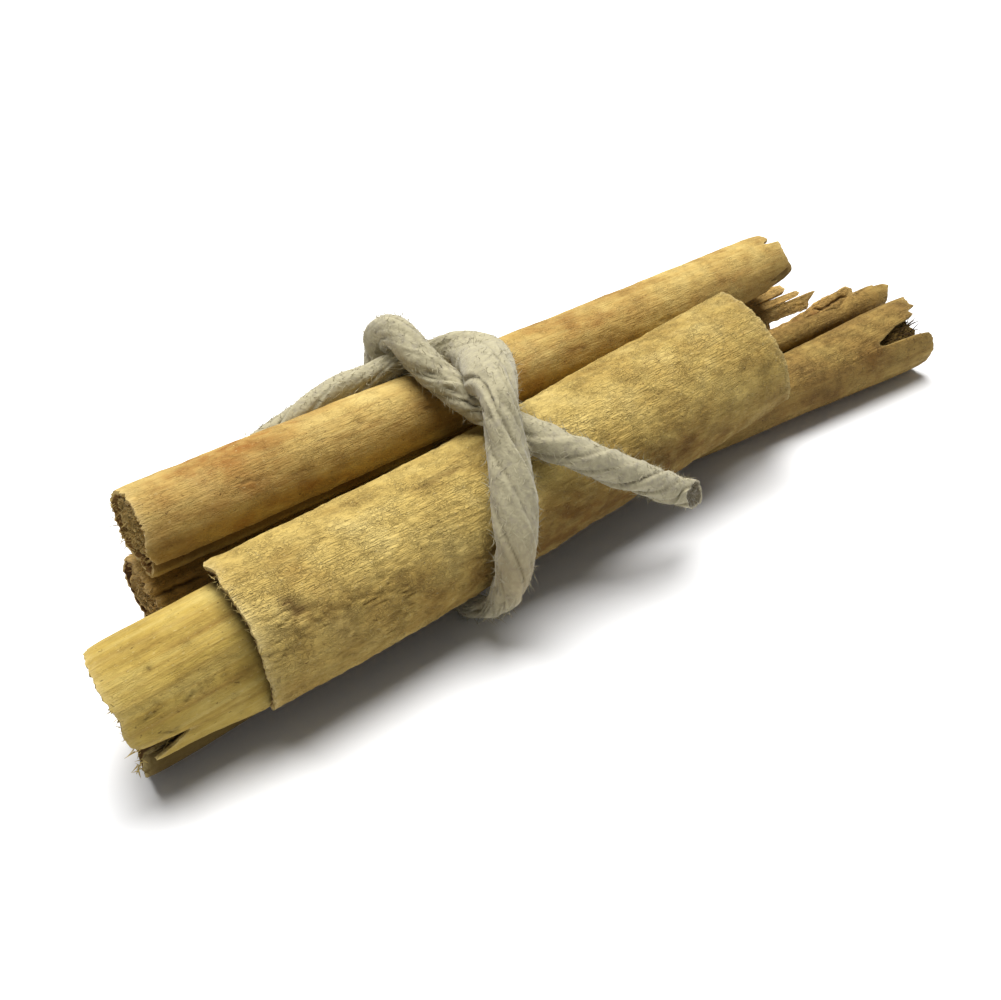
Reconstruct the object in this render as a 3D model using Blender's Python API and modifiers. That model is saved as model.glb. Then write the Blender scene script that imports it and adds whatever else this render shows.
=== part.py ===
"""A tied bundle of cinnamon quills, built as real ones are: rolled sheets of bark and one cord.

The bundle lies along X. Y points to its back and Z points up, and the floor is at zero.
Every length below is in millimetres, and place() turns it into metres.
"""

import math

import bmesh
import bpy
from mathutils import Vector

MM = 0.001

# Bark
BARK = 0.75          # thickness of one sheet
PITCH = 1.15         # from one turn of a rolled sheet to the next
TURN_STEPS = 18      # flat steps round one full turn

# Upper back quill, a tight roll
UPPER_START = Vector((-58.8, 8.15, 20.2))
UPPER_END = Vector((51.6, 9.15, 16.1))
UPPER_RADII = (4.77, 4.62)
UPPER_TURNS = 2.9
UPPER_LIP = 222      # angle of the outer edge of the sheet, degrees from the back over the top

# Lower back quill, a looser roll that lies on the floor at its right end
LOWER_START = Vector((-58.2, 9.95, 9.75))
LOWER_END = Vector((50.8, 10.75, 5.27))
LOWER_BOW = Vector((0.0, 0.0, 0.45))
LOWER_RADII = (5.35, 5.35)
LOWER_TURNS = 2.0
LOWER_LIP = 160
LOWER_SHRED = 10.5    # how far its torn front strip reaches past the rest

# Outer sleeve, one thick sheet bent into a C that is open below
SLEEVE_START = Vector((-54.6, -4.55, 11.05))
SLEEVE_END = Vector((29.7, -4.8, 14.12))
SLEEVE_BOW = Vector((0.0, -0.3, -0.8))
SLEEVE_RADII = (8.75, 9.22)
SLEEVE_FRONT_EDGE = 219
SLEEVE_BACK_EDGE = (-60, -15)
SLEEVE_DIP = 3.9     # how far its right rim is cut back over the top

# Inner quill that shows at the left end of the sleeve
INNER_LEFT_START = Vector((-69.9, -3.55, 9.45))
INNER_LEFT_END = Vector((8.8, -5.45, 13.1))
INNER_LEFT_RADII = (6.9, 6.9)
INNER_LEFT_TURNS = 1.9
INNER_LEFT_LIP = 228
INNER_LEFT_SAG = 1.4 # how far the layer next to the lip hangs out of round

# Inner quill that shows at the right end, both its edges rolled in
INNER_RIGHT_START = Vector((15.3, -4.25, 6.65))
INNER_RIGHT_END = Vector((68.8, -10.75, 5.1))
FRONT_ROLL = 5.2
BACK_ROLL = (1.9, 2.6)
BACK_ROLL_OFFSET = (Vector((7.0, 0.9)), Vector((7.3, 3.6)))
FRONT_TURNS = 1.7
BACK_TURNS = 1.2
FRONT_CUT = 4.5      # how much shorter the front roll is than the back one
TEAR = 10.0          # depth of the tear in the front roll

# Loose bark strip behind it
STRIP_START = Vector((36.3, -3.75, 10.2))
STRIP_END = Vector((62.8, -4.15, 7.4))
STRIP_RADIUS = 6.2
STRIP_BACK_EDGE = 0
STRIP_TOP_EDGE = (18, 54)

# Cord
CORD_RADIUS = 2.05
CORD_STEP = 2.2      # between points along the cord


def place(point):
    return point * MM


# ---------------------------------------------------------------- scene

def clear_scene():
    for obj in list(bpy.data.objects):
        bpy.data.objects.remove(obj, do_unlink=True)


def new_collection(name):
    collection = bpy.data.collections.new(name)
    bpy.context.scene.collection.children.link(collection)
    return collection


def material(name, colour, roughness):
    mat = bpy.data.materials.new(name)
    mat.use_nodes = True
    shader = mat.node_tree.nodes["Principled BSDF"]
    shader.inputs["Base Color"].default_value = (*colour, 1.0)
    shader.inputs["Roughness"].default_value = roughness
    shader.inputs["Metallic"].default_value = 0.0
    return mat


# ---------------------------------------------------------------- bark sections

def spiral(centre, radius, turns, start, sense, steps=TURN_STEPS):
    """Middle line of a sheet that rolls inwards from its outside, as (across, up) points."""
    count = max(4, round(steps * turns))
    points = []
    for i in range(count + 1):
        turned = turns * i / count
        angle = math.radians(start) + sense * 2 * math.pi * turned
        reach = radius - BARK / 2 - PITCH * turned
        points.append(Vector((centre[0] + reach * math.cos(angle), centre[1] + reach * math.sin(angle))))
    return points


def arc(radius, start, end, count):
    reach = radius - BARK / 2
    angles = [math.radians(start + (end - start) * i / count) for i in range(count + 1)]
    return [Vector((reach * math.cos(a), reach * math.sin(a))) for a in angles]


def sagging_roll():
    """A roll whose layer next to the outer edge hangs a little out of round."""
    points = spiral((0, 0), INNER_LEFT_RADII[0], INNER_LEFT_TURNS, INNER_LEFT_LIP, -1, steps=20)
    last = len(points) - 1
    for i, point in enumerate(points):
        turned = INNER_LEFT_TURNS * i / last
        point.y -= notch(turned, 0.88, 0.12, INNER_LEFT_SAG)
    return points


def double_roll(t):
    """Both edges of one sheet roll in towards each other, with the groove on top."""
    centre = BACK_ROLL_OFFSET[0].lerp(BACK_ROLL_OFFSET[1], t)
    radius = BACK_ROLL[0] + (BACK_ROLL[1] - BACK_ROLL[0]) * t
    back = spiral(centre, radius, BACK_TURNS, 270, 1, steps=12)
    front = spiral((0.0, 0.0), FRONT_ROLL, FRONT_TURNS, 270, -1, steps=16)
    return list(reversed(back)) + front


# ---------------------------------------------------------------- torn ends

def notch(position, centre, width, depth):
    """How far an edge is cut back near centre, all in fractions of the sheet's width."""
    away = abs(position - centre) / width
    return depth * max(0.0, 1.0 - away * away)


def step_back(position, start, depth):
    """How far an edge is cut back beyond start, reached over a fifth of the width."""
    return depth * min(1.0, max(0.0, (position - start) / 0.2))


def ragged(position, size, phase):
    """Small uneven teeth along a cut edge."""
    return size * (math.sin(23 * position + phase) + 0.6 * math.sin(61 * position + 2.1 * phase)) / 1.6


# ---------------------------------------------------------------- bark sheets

def bark_sheet(name, section, start, end, start_cut, end_cut, mat, collection,
               bow=Vector((0, 0, 0)), radii=(1.0, 1.0), spans=7):
    """Bend a flat grid into a rolled sheet. section(along, count) lists its middle line, and the
    cuts say how far each line of the sheet starts and stops past the ends of the axis."""
    rows = len(section(0.0)) - 1
    bm = bmesh.new()
    bmesh.ops.create_grid(bm, x_segments=spans, y_segments=rows, size=0.5)
    direction = (end - start).normalized()
    across = Vector((0, 0, 1)).cross(direction).normalized()
    up = direction.cross(across)
    length = (end - start).length
    sections = [section(i / spans) for i in range(spans + 1)]
    for vert in bm.verts:
        share = vert.co.x + 0.5
        width = vert.co.y + 0.5
        column = round(share * spans)
        row = round(width * rows)
        first = start_cut(width)
        along = first + share * (length + end_cut(width) - first)
        t = along / length
        size = radii[0] + (radii[1] - radii[0]) * t
        middle = start + direction * along + bow * (4 * t * (1 - t))
        out = sections[column][row] * (size / radii[0])
        wave = 1.0 + 0.012 * math.sin(2.6 * t * math.pi + 3.0 * width)
        vert.co = place(middle + (across * out.x + up * out.y) * wave)
    mesh = bpy.data.meshes.new(name)
    bm.to_mesh(mesh)
    bm.free()
    mesh.shade_smooth()
    obj = bpy.data.objects.new(name, mesh)
    obj.data.materials.append(mat)
    collection.objects.link(obj)
    thick = obj.modifiers.new("bark", "SOLIDIFY")
    thick.thickness = BARK * MM
    thick.offset = 0.0
    return obj


def upper_quill(collection, mat):
    roll = spiral((0, 0), UPPER_RADII[0], UPPER_TURNS, UPPER_LIP, -1, steps=16)
    return bark_sheet(
        "upper_back_quill", lambda t: roll, UPPER_START, UPPER_END,
        lambda w: ragged(w, 0.3, 1.0),
        lambda w: ragged(w, 0.4, 2.0) - notch(w, 0.115, 0.03, 2.4) - notch(w, 0.0, 0.03, 3.0),
        mat, collection, radii=UPPER_RADII)


def lower_quill(collection, mat):
    roll = spiral((0, 0), LOWER_RADII[0], LOWER_TURNS, LOWER_LIP, -1)
    return bark_sheet(
        "lower_back_quill", lambda t: roll, LOWER_START, LOWER_END,
        lambda w: ragged(w, 0.5, 0.4),
        lambda w: ragged(w, 0.3, 2.6) + notch(w, 0.04, 0.06, LOWER_SHRED),
        mat, collection, bow=LOWER_BOW, radii=LOWER_RADII)


def sleeve(collection, mat):
    def section(t):
        back = SLEEVE_BACK_EDGE[0] + (SLEEVE_BACK_EDGE[1] - SLEEVE_BACK_EDGE[0]) * t
        return arc(SLEEVE_RADII[0], SLEEVE_FRONT_EDGE, back, 26)
    return bark_sheet(
        "outer_sleeve", section, SLEEVE_START, SLEEVE_END,
        lambda w: ragged(w, 0.2, 0.7) - 0.8,
        lambda w: ragged(w, 0.2, 1.3) - notch(w, 0.38, 0.36, SLEEVE_DIP),
        mat, collection, bow=SLEEVE_BOW, radii=SLEEVE_RADII, spans=9)


def inner_left(collection, mat):
    roll = sagging_roll()
    return bark_sheet(
        "inner_left_quill", lambda t: roll, INNER_LEFT_START, INNER_LEFT_END,
        lambda w: ragged(w, 0.2, 1.9) + notch(w, 0.018, 0.034, 5.0) + step_back(w, 0.22, 2.8),
        lambda w: ragged(w, 0.2, 0.2),
        mat, collection, radii=INNER_LEFT_RADII)


def inner_right(collection, mat):
    back_rows = round(12 * BACK_TURNS) / (len(double_roll(0)) - 1)

    def end_cut(w):
        if w < back_rows:
            return ragged(w, 0.4, 1.4)
        turned = (w - back_rows) / (1 - back_rows) * FRONT_TURNS
        return ragged(w, 0.4, 1.4) - FRONT_CUT - notch(turned, 0.39, 0.06, TEAR)

    return bark_sheet(
        "inner_right_quill", double_roll, INNER_RIGHT_START, INNER_RIGHT_END,
        lambda w: ragged(w, 0.3, 0.9), end_cut, mat, collection)


def loose_strip(collection, mat):
    def section(t):
        top = STRIP_TOP_EDGE[0] + (STRIP_TOP_EDGE[1] - STRIP_TOP_EDGE[0]) * t
        return arc(STRIP_RADIUS, STRIP_BACK_EDGE, top, 6)
    return bark_sheet(
        "loose_bark_strip", section, STRIP_START, STRIP_END,
        lambda w: 0.0,
        lambda w: ragged(w, 0.3, 1.0) - notch(w, 1.0, 0.5, 1.5),
        mat, collection, spans=5)


# ---------------------------------------------------------------- cord

# Route of the cord from its back tail, through the half knot, round the bundle and back through
# the knot to its front tail. Each row is a point and the cord's fullness there, less where pressed.
CORD_ROUTE = [
    ((-42.1, 14.7, 18.7), 0.78),
    ((-39.1, 14.7, 19.6), 0.82),
    ((-34.7, 14.4, 20.8), 0.86),
    ((-28.4, 13.9, 22.7), 0.84),
    ((-22.2, 12.9, 23.6), 0.86),
    ((-17.4, 11.5, 24.4), 0.84),
    ((-13.6, 8.3, 25.3), 0.95),
    ((-13.1, 2.7, 26.0), 1.08),
    ((-16.2, -2.6, 27.1), 1.08),
    ((-19.4, -7.1, 26.8), 1.05),
    ((-21.6, -10.7, 22.9), 1.12),
    ((-23.7, -14.0, 18.8), 1.12),
    ((-25.3, -16.2, 14.2), 1.12),
    ((-26.2, -16.3, 9.9), 1.05),
    ((-27.0, -14.1, 5.0), 0.92),
    ((-26.8, -8.3, 1.6), 0.85),
    ((-25.5, -0.6, 1.6), 0.78),
    ((-24.6, 7.1, 1.3), 0.78),
    ((-23.8, 13.2, 2.5), 0.88),
    ((-22.7, 17.3, 6.6), 0.95),
    ((-21.1, 18.5, 11.9), 1.00),
    ((-19.2, 18.2, 17.5), 1.00),
    ((-18.4, 17.8, 22.4), 1.00),
    ((-18.8, 16.4, 26.2), 1.00),
    ((-19.3, 12.3, 28.2), 1.00),
    ((-19.6, 7.4, 26.6), 1.00),
    ((-19.0, 3.8, 24.7), 1.00),
    ((-18.5, -0.5, 23.3), 0.92),
    ((-17.8, -5.4, 22.9), 0.90),
    ((-15.8, -11.2, 21.4), 0.98),
    ((-12.5, -14.5, 19.3), 0.96),
    ((-8.3, -16.6, 16.3), 0.96),
    ((-4.1, -17.9, 13.3), 0.94),
    ((0.9, -18.8, 9.8), 0.88),
]


def smooth_route(route, step):
    """Catmull-Rom curve through the route, read about every step."""
    points = [Vector((*p, fullness)) for p, fullness in route]
    points = [2 * points[0] - points[1]] + points + [2 * points[-1] - points[-2]]
    read = []
    for a, b, c, d in zip(points, points[1:], points[2:], points[3:]):
        count = max(1, round((c - b).length / step))
        for i in range(count):
            t = i / count
            read.append(0.5 * (2 * b + (c - a) * t + (2 * a - 5 * b + 4 * c - d) * t * t
                               + (3 * b - a - 3 * c + d) * t ** 3))
    read.append(points[-2])
    return read


def cord(collection, mat):
    read = smooth_route(CORD_ROUTE, CORD_STEP)
    data = bpy.data.curves.new("tie_cord", "CURVE")
    data.dimensions = "3D"
    data.bevel_depth = CORD_RADIUS * MM
    data.bevel_resolution = 2
    data.use_fill_caps = True
    spline = data.splines.new("POLY")
    spline.points.add(len(read) - 1)
    for point, (x, y, z, fullness) in zip(spline.points, read):
        point.co = (x * MM, y * MM, z * MM, 1.0)
        point.radius = fullness
    curve = bpy.data.objects.new("cord_curve", data)
    collection.objects.link(curve)
    tube = as_mesh(curve, "tie_cord", collection)
    tube.data.materials.append(mat)
    return tube


def as_mesh(curve, name, collection):
    """Turn a curve into a mesh with its end caps welded on."""
    bpy.context.view_layer.update()
    graph = bpy.context.evaluated_depsgraph_get()
    mesh = bpy.data.meshes.new_from_object(curve.evaluated_get(graph))
    mesh.name = name
    bm = bmesh.new()
    bm.from_mesh(mesh)
    bmesh.ops.remove_doubles(bm, verts=bm.verts, dist=0.00001)
    bm.to_mesh(mesh)
    bm.free()
    mesh.materials.clear()
    mesh.shade_smooth()
    solid = bpy.data.objects.new(name, mesh)
    solid.matrix_world = curve.matrix_world
    collection.objects.link(solid)
    bpy.data.objects.remove(curve, do_unlink=True)
    return solid


# ---------------------------------------------------------------- floor

def flat_spots(objects, cutters):
    """Cut what would dip under the floor, which leaves small flat spots to rest on."""
    bpy.ops.mesh.primitive_cube_add(size=1.0, location=(0.0, 0.0, -0.01))
    block = bpy.context.active_object
    block.name = "floor_cutter"
    block.scale = (0.2, 0.1, 0.02)
    block.hide_render = True
    block.display_type = "WIRE"
    for owner in list(block.users_collection):
        owner.objects.unlink(block)
    cutters.objects.link(block)
    for obj in objects:
        cut = obj.modifiers.new("flat spot", "BOOLEAN")
        cut.operation = "DIFFERENCE"
        cut.solver = "EXACT"
        cut.object = block


def main():
    clear_scene()
    bundle = new_collection("cinnamon_bundle")
    cutters = new_collection("cutters")
    golden = material("golden_bark", (0.46, 0.26, 0.08), 0.7)
    brown = material("brown_bark", (0.30, 0.16, 0.06), 0.75)
    pale = material("pale_bark", (0.50, 0.36, 0.13), 0.8)
    linen = material("linen_cord", (0.58, 0.55, 0.43), 0.9)
    upper_quill(bundle, golden)
    lower = lower_quill(bundle, brown)
    sleeve(bundle, pale)
    inner_left(bundle, golden)
    right = inner_right(bundle, brown)
    loose_strip(bundle, brown)
    tie = cord(bundle, linen)
    flat_spots([lower, right, tie], cutters)


main()
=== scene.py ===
# %% [markdown]
# # A tied bundle of cinnamon quills
# Cinnamon quills are sheets of thin inner bark, rolled up while damp and dried until they hold
# their curl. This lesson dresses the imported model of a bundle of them: five rolled sheets, one
# loose strip and the soft cord that ties them. The model is loaded first and is never moved.

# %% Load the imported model
import math
import bpy
import numpy as np
from mathutils import Matrix, Vector


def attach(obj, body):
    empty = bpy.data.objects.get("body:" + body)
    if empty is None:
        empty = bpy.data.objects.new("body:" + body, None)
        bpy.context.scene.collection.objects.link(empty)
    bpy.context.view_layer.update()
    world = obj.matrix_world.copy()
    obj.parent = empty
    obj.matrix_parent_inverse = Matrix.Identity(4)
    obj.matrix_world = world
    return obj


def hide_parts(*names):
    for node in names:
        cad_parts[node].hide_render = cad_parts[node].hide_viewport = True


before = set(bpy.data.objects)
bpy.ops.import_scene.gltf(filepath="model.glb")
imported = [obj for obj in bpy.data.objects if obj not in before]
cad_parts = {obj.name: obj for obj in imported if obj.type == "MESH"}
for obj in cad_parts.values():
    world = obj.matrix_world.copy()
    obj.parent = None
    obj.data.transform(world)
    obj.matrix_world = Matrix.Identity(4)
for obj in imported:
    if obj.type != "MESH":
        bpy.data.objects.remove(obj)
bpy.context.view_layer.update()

print("nodes:", ", ".join(sorted(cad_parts)))

# %% [markdown]
# ## Millimetres and colours
# Every shape is worked out in millimetres, and turned into metres when its mesh is made. Colours
# are sRGB hex values, as on a paint card. One function turns them into the linear values that a
# shader needs, and the plain view transform keeps a hex colour the same on screen.

# %% Units and colours
MM = 0.001
bpy.context.scene.view_settings.view_transform = "Standard"


def linear(hex_colour):
    """An sRGB hex colour as linear RGBA."""
    values = [int(hex_colour[i:i + 2], 16) / 255 for i in (1, 3, 5)]
    return [v / 12.92 if v <= 0.04045 else ((v + 0.055) / 1.055) ** 2.4 for v in values] + [1.0]


print("bark on a paint card:", [round(v, 3) for v in linear("#BEA770")])

# %% [markdown]
# ## The camera
# The bundle is seen from close by, a little above and to the left of its front, so the nearer
# ends look larger. The camera is turned, tilted and rolled a little.

# %% Camera
CAMERA_PLACE = (-90.2, -91.75, 91.9)
CAMERA_TURN, CAMERA_TILT, CAMERA_ROLL = -39.732, 54.367, -2.337
LENS = 40.378

camera_data = bpy.data.cameras.new("camera")
camera_data.lens, camera_data.sensor_width = LENS, 36
camera_data.clip_start, camera_data.clip_end = 0.005, 10
camera = bpy.data.objects.new("camera", camera_data)
bpy.context.scene.collection.objects.link(camera)
turned = (Matrix.Rotation(math.radians(CAMERA_TURN), 4, "Z")
          @ Matrix.Rotation(math.radians(CAMERA_TILT), 4, "X")
          @ Matrix.Rotation(math.radians(CAMERA_ROLL), 4, "Z"))
camera.matrix_world = Matrix.Translation(Vector(CAMERA_PLACE) * MM) @ turned
bpy.context.scene.camera = camera
print("camera looks along", [round(v, 3) for v in turned.to_3x3() @ Vector((0, 0, -1))])

# %% [markdown]
# ## Noise that is the same each time
# Dry bark is wrinkled and crumbly. All of that comes from one gradient noise, worked out on whole
# arrays of points. Its directions are drawn from a seeded generator, so every run is the same.

# %% Noise
random = np.random.default_rng(11)
SHUFFLE = random.permutation(256)
GRADIENTS = random.normal(size=(256, 3))
GRADIENTS /= np.linalg.norm(GRADIENTS, axis=1)[:, None]


def noise(x, y, z=0.0):
    """Smooth noise from about -1 to 1. One bump is about one unit wide."""
    axes = np.broadcast_arrays(*(np.asarray(v, float) for v in (x, y, z)))
    cells = [np.floor(v).astype(int) for v in axes]
    parts = [v - c for v, c in zip(axes, cells)]
    eased = [p * p * p * (p * (p * 6 - 15) + 10) for p in parts]
    total = 0.0
    for corner in range(8):
        step = (corner & 1, corner >> 1 & 1, corner >> 2)
        index = 0
        weight = 1.0
        for cell, ease, s in zip(cells, eased, step):
            index = SHUFFLE[(index + cell + s) & 255]
            weight = weight * (ease if s else 1 - ease)
        slope = GRADIENTS[index]
        total = total + weight * sum(slope[..., k] * (parts[k] - step[k]) for k in range(3))
    return total * 1.6


def layered(x, y, z=0.0, layers=3):
    """Noise with finer and weaker noise added on top."""
    return sum(noise(x * 2 ** k, y * 2 ** k, z + 7.3 * k) * 0.5 ** k for k in range(layers))


def smooth_step(value, low, high):
    t = np.clip((value - low) / (high - low), 0.0, 1.0)
    return t * t * (3 - 2 * t)


print("noise check:", np.round(noise(np.array([0.3, 5.7]), 1.2, 2.5), 4))

# %% [markdown]
# ## From points to a piece
# A piece is put together from closed parts, such as a rolled sheet and the fibres at its end, and becomes
# one mesh. Two vectors are kept at every point for the finish: `grain`, the millimetres across the grain,
# along it and into the bark, and `marks`, which says how near a torn edge is, how dark a place is
# painted, partly dirt and partly painted shade in cracks, creases and hollows, and how stained the bark
# is.

# %% Parts and pieces
shown = {}
TABLE_GAP = 0.02      # mm between the lowest points and the table


def unit(vectors):
    return vectors / np.linalg.norm(vectors, axis=-1, keepdims=True)


def part(points, faces, grain, wear, dirt_and_shade, stain=0.0):
    marks = np.stack([np.broadcast_to(v, len(points)) for v in (wear, dirt_and_shade, stain)], axis=1)
    return {"points": points, "faces": faces, "grain": grain, "marks": marks}


def make_piece(name, parts, sharp=50):
    """Join closed parts into one mesh object, in metres."""
    faces, first = [], 0
    for item in parts:
        for block in item["faces"]:
            faces += (block + first).tolist()
        first += len(item["points"])
    points = np.concatenate([item["points"] for item in parts])
    points[:, 2] = np.maximum(points[:, 2], TABLE_GAP)
    mesh = bpy.data.meshes.new(name)
    mesh.from_pydata((points * MM).tolist(), [], faces)
    for key in ("grain", "marks"):
        values = np.concatenate([item[key] for item in parts]).astype(np.float32)
        mesh.attributes.new(key, "FLOAT_VECTOR", "POINT").data.foreach_set("vector", values.ravel())
    mesh.shade_smooth()
    mesh.set_sharp_from_angle(angle=math.radians(sharp))
    shown[name] = bpy.data.objects.new(name, mesh)
    bpy.context.scene.collection.objects.link(shown[name])
    triangles = sum(len(f) - 2 for f in faces)
    print(f"{name}: {triangles} triangles, lowest point {points[:, 2].min():.2f} mm")


def outward(points, faces):
    """The same faces, turned so that they face out of the closed shape."""
    quad = points[faces[0]]
    cross = np.cross(quad[:, 2] - quad[:, 0], quad[:, 3] - quad[:, 1])
    volume = (cross * quad.mean(axis=1)).sum()
    return faces if volume > 0 else [block[:, ::-1] for block in faces]


# %% [markdown]
# ## Fibres
# Torn bark and felted cord end in loose fibres, a few hundredths of a millimetre thick and drawn
# a little coarser. Each is a closed three-sided sliver that bends once and ends in a point.

# %% Slivers
SLIVER_RINGS = ((0.0, 1.0), (0.5, 0.75))      # shares of its length and width
SLIVER_POINTS = 7


def slivers(roots, heading, length, width, curl, wear=0.0, dirt_and_shade=0.0):
    """Tapered fibres. heading and curl are directions, one row for each root."""
    count = len(roots)
    heading = unit(heading)
    side = unit(np.cross(heading, curl))
    other = np.cross(heading, side)
    length, width = (np.broadcast_to(v, count)[:, None] for v in (length, width))
    rings = []
    for share, thick in SLIVER_RINGS:
        middle = roots + heading * share * length + curl * share ** 2 * length
        for angle in (0, 2 * math.pi / 3, 4 * math.pi / 3):
            out = side * math.cos(angle) + other * math.sin(angle)
            rings.append(middle + out * 0.5 * thick * width)
    rings.append(roots + (heading + curl) * length)
    points = np.stack(rings, axis=1).reshape(-1, 3)
    first = (np.arange(count) * SLIVER_POINTS)[:, None]
    quads = np.concatenate([first + [k, (k + 1) % 3, 3 + (k + 1) % 3, 3 + k] for k in range(3)])
    ends = [first + [2, 1, 0]] + [first + [3 + k, 3 + (k + 1) % 3, 6] for k in range(3)]
    grain = np.stack([np.repeat(np.arange(count) * 0.37, SLIVER_POINTS),
                      np.tile([0, 0, 0, 1, 1, 1, 2], count), np.zeros(len(points))], axis=1)
    return part(points, outward(points, [quads, np.concatenate(ends)]), grain, wear, dirt_and_shade)


# %% [markdown]
# ## The tie cord: its route
# The cord is soft felted linen, 4.1 mm thick and 183 mm long. It comes off the back as a flat
# tail, goes through a half knot on top and once round the bundle, and ends in a free tail at the
# front. Each point of its route has the cord's fullness there: it is thinner where it is pressed.

# %% Cord route
CORD_RADIUS = 2.05
RING_STEP = 0.3
CORD_ROUTE = np.array([
    (-42.1, 14.7, 18.7, 0.78), (-39.1, 14.7, 19.6, 0.82), (-34.7, 14.4, 20.8, 0.86),
    (-28.4, 13.9, 22.7, 0.84), (-22.2, 12.9, 23.6, 0.86), (-17.4, 11.5, 24.4, 0.84),
    (-13.6, 8.3, 25.3, 0.95), (-13.1, 2.7, 26.0, 1.08), (-16.2, -2.6, 27.1, 1.08),
    (-19.4, -7.1, 26.8, 1.05), (-21.6, -10.7, 22.9, 1.12), (-23.7, -14.0, 18.8, 1.12),
    (-25.3, -16.2, 14.2, 1.12), (-26.2, -16.3, 9.9, 1.05), (-27.0, -14.1, 5.0, 0.92),
    (-26.8, -8.3, 1.6, 0.85), (-25.5, -0.6, 1.6, 0.78), (-24.6, 7.1, 1.3, 0.78),
    (-23.8, 13.2, 2.5, 0.88), (-22.7, 17.3, 6.6, 0.95), (-21.1, 18.5, 11.9, 1.00),
    (-19.2, 18.2, 17.5, 1.00), (-18.4, 17.8, 22.4, 1.00), (-18.8, 16.4, 26.2, 1.00),
    (-19.3, 12.3, 28.2, 1.00), (-19.6, 7.4, 26.6, 1.00), (-19.0, 3.8, 24.7, 1.00),
    (-18.5, -0.5, 23.3, 0.92), (-17.8, -5.4, 22.9, 0.90), (-15.8, -11.2, 21.4, 0.98),
    (-12.5, -14.5, 19.3, 0.96), (-8.3, -16.6, 16.3, 0.96), (-4.1, -17.9, 13.3, 0.94),
    (0.9, -18.8, 9.8, 0.88)])


def smooth_route(route, step):
    """A curve through all the points, and how far along it each of them lies."""
    route = np.vstack([2 * route[0] - route[1], route, 2 * route[-1] - route[-2]])
    read, knots = [], []
    for a, b, c, d in zip(route, route[1:], route[2:], route[3:]):
        count = max(1, round(np.linalg.norm(c[:3] - b[:3]) / step))
        knots.append(len(read))
        for t in np.arange(count) / count:
            read.append(0.5 * (2 * b + (c - a) * t + (2 * a - 5 * b + 4 * c - d) * t * t
                               + (3 * b - a - 3 * c + d) * t ** 3))
    knots.append(len(read))
    read = np.array(read + [route[-2]])
    run = np.concatenate([[0], np.cumsum(np.linalg.norm(np.diff(read[:, :3], axis=0), axis=1))])
    return read[:, :3], read[:, 3], run, run[knots]


cord_line, cord_fullness, cord_run, cord_knots = smooth_route(CORD_ROUTE, RING_STEP)
cord_length = cord_run[-1]
print(f"cord: {len(cord_line)} rings, {cord_length:.1f} mm long")
print("millimetres along it:", np.round(cord_knots, 1).tolist())

# %% [markdown]
# ## The tie cord: its shape
# The cord is a strip of felt wound up, so the edges of its wraps run round it as long slanting
# steps. Where it is pinched it gathers into small pleats, and where it is free it swells. Every
# point of a tube knows its place along the cord and its angle round it, counted along the wraps.

# %% Cord surface
CORD_AROUND = 88
# The lay: mm along the cord, and the length in which a wrap goes once round it there.
LAY = [(26, 36), (34, 60), (46, 40), (58, 27), (130, 27), (150, 20), (183, 16)]
WRAP_STEPS = (0.70, 0.16, 0.50, 0.10)    # the depth of each wrap's edge in mm
# Pinched places: mm along the cord, reach in mm, depth of the pleats in mm, how many of them.
PINCHES = [(25.0, 9.0, 0.50, 10), (44.6, 5.0, 0.10, 9), (49.5, 8.0, 0.50, 9),
           (75.5, 10.0, 0.55, 15), (142.5, 6.0, 0.25, 9), (150.5, 9.0, 0.62, 8)]
# Flattened where it is pulled over the bark: from, to, how much.
PRESSED = [(0, 28, 0.16), (54, 70, 0.16), (72, 100, 0.12), (100, 122, 0.10)]
# Where it swells: mm along the cord, reach in mm, how much of its radius.
SWELLS = [(37.0, 13.0, 0.20), (61.5, 9.0, 0.10), (77.0, 9.0, -0.22), (130.0, 9.0, 0.06)]
# Where it spreads to one side, on the bark or against itself: from, to, direction, how much.
SPREADS = [(7.5, 25.5, (0, 0, -1), 0.70), (30.5, 46.5, (-0.79, 0.53, -0.31), 0.55)]
THICKEST = 3.85              # the largest radius in mm
BUNDLE_MIDDLE = (0, 3.0, 13.0)
TIP_BEND = (5.0, 0.047)      # the last mm of the front tail, and how fast they turn up
TIP_UP = np.array([0.02, -0.96, 0.28])
TIP_CUT = (4.5, 1.15)        # the slanting cut: its reach in mm and its slope


def steady_frames(line):
    """The direction of a line, and two sideways directions that never spin round it."""
    ahead = unit(np.gradient(line, axis=0))
    side = np.empty_like(ahead)
    side[0] = unit(np.cross(ahead[0], (0, 0, 1)))
    for i in range(1, len(line)):
        side[i] = unit(side[i - 1] - ahead[i] * (side[i - 1] @ ahead[i]))
    return ahead, side, np.cross(ahead, side)


def groove(angle, count, sharpness):
    """1 on count lines round the cord, and quickly less beside them."""
    return (1 - np.abs(np.sin(angle * count / 2))) ** sharpness


def hump(run, where, reach):
    """1 at a place along the cord, falling softly to 0 at its reach."""
    return np.cos(np.clip((run - where) / reach, -1, 1) * np.pi / 2) ** 2


def between(run, a, b, soft):
    """1 from a to b, with soft ends."""
    return smooth_step(run, a - soft, a + soft) * (1 - smooth_step(run, b - soft, b + soft))


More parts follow.
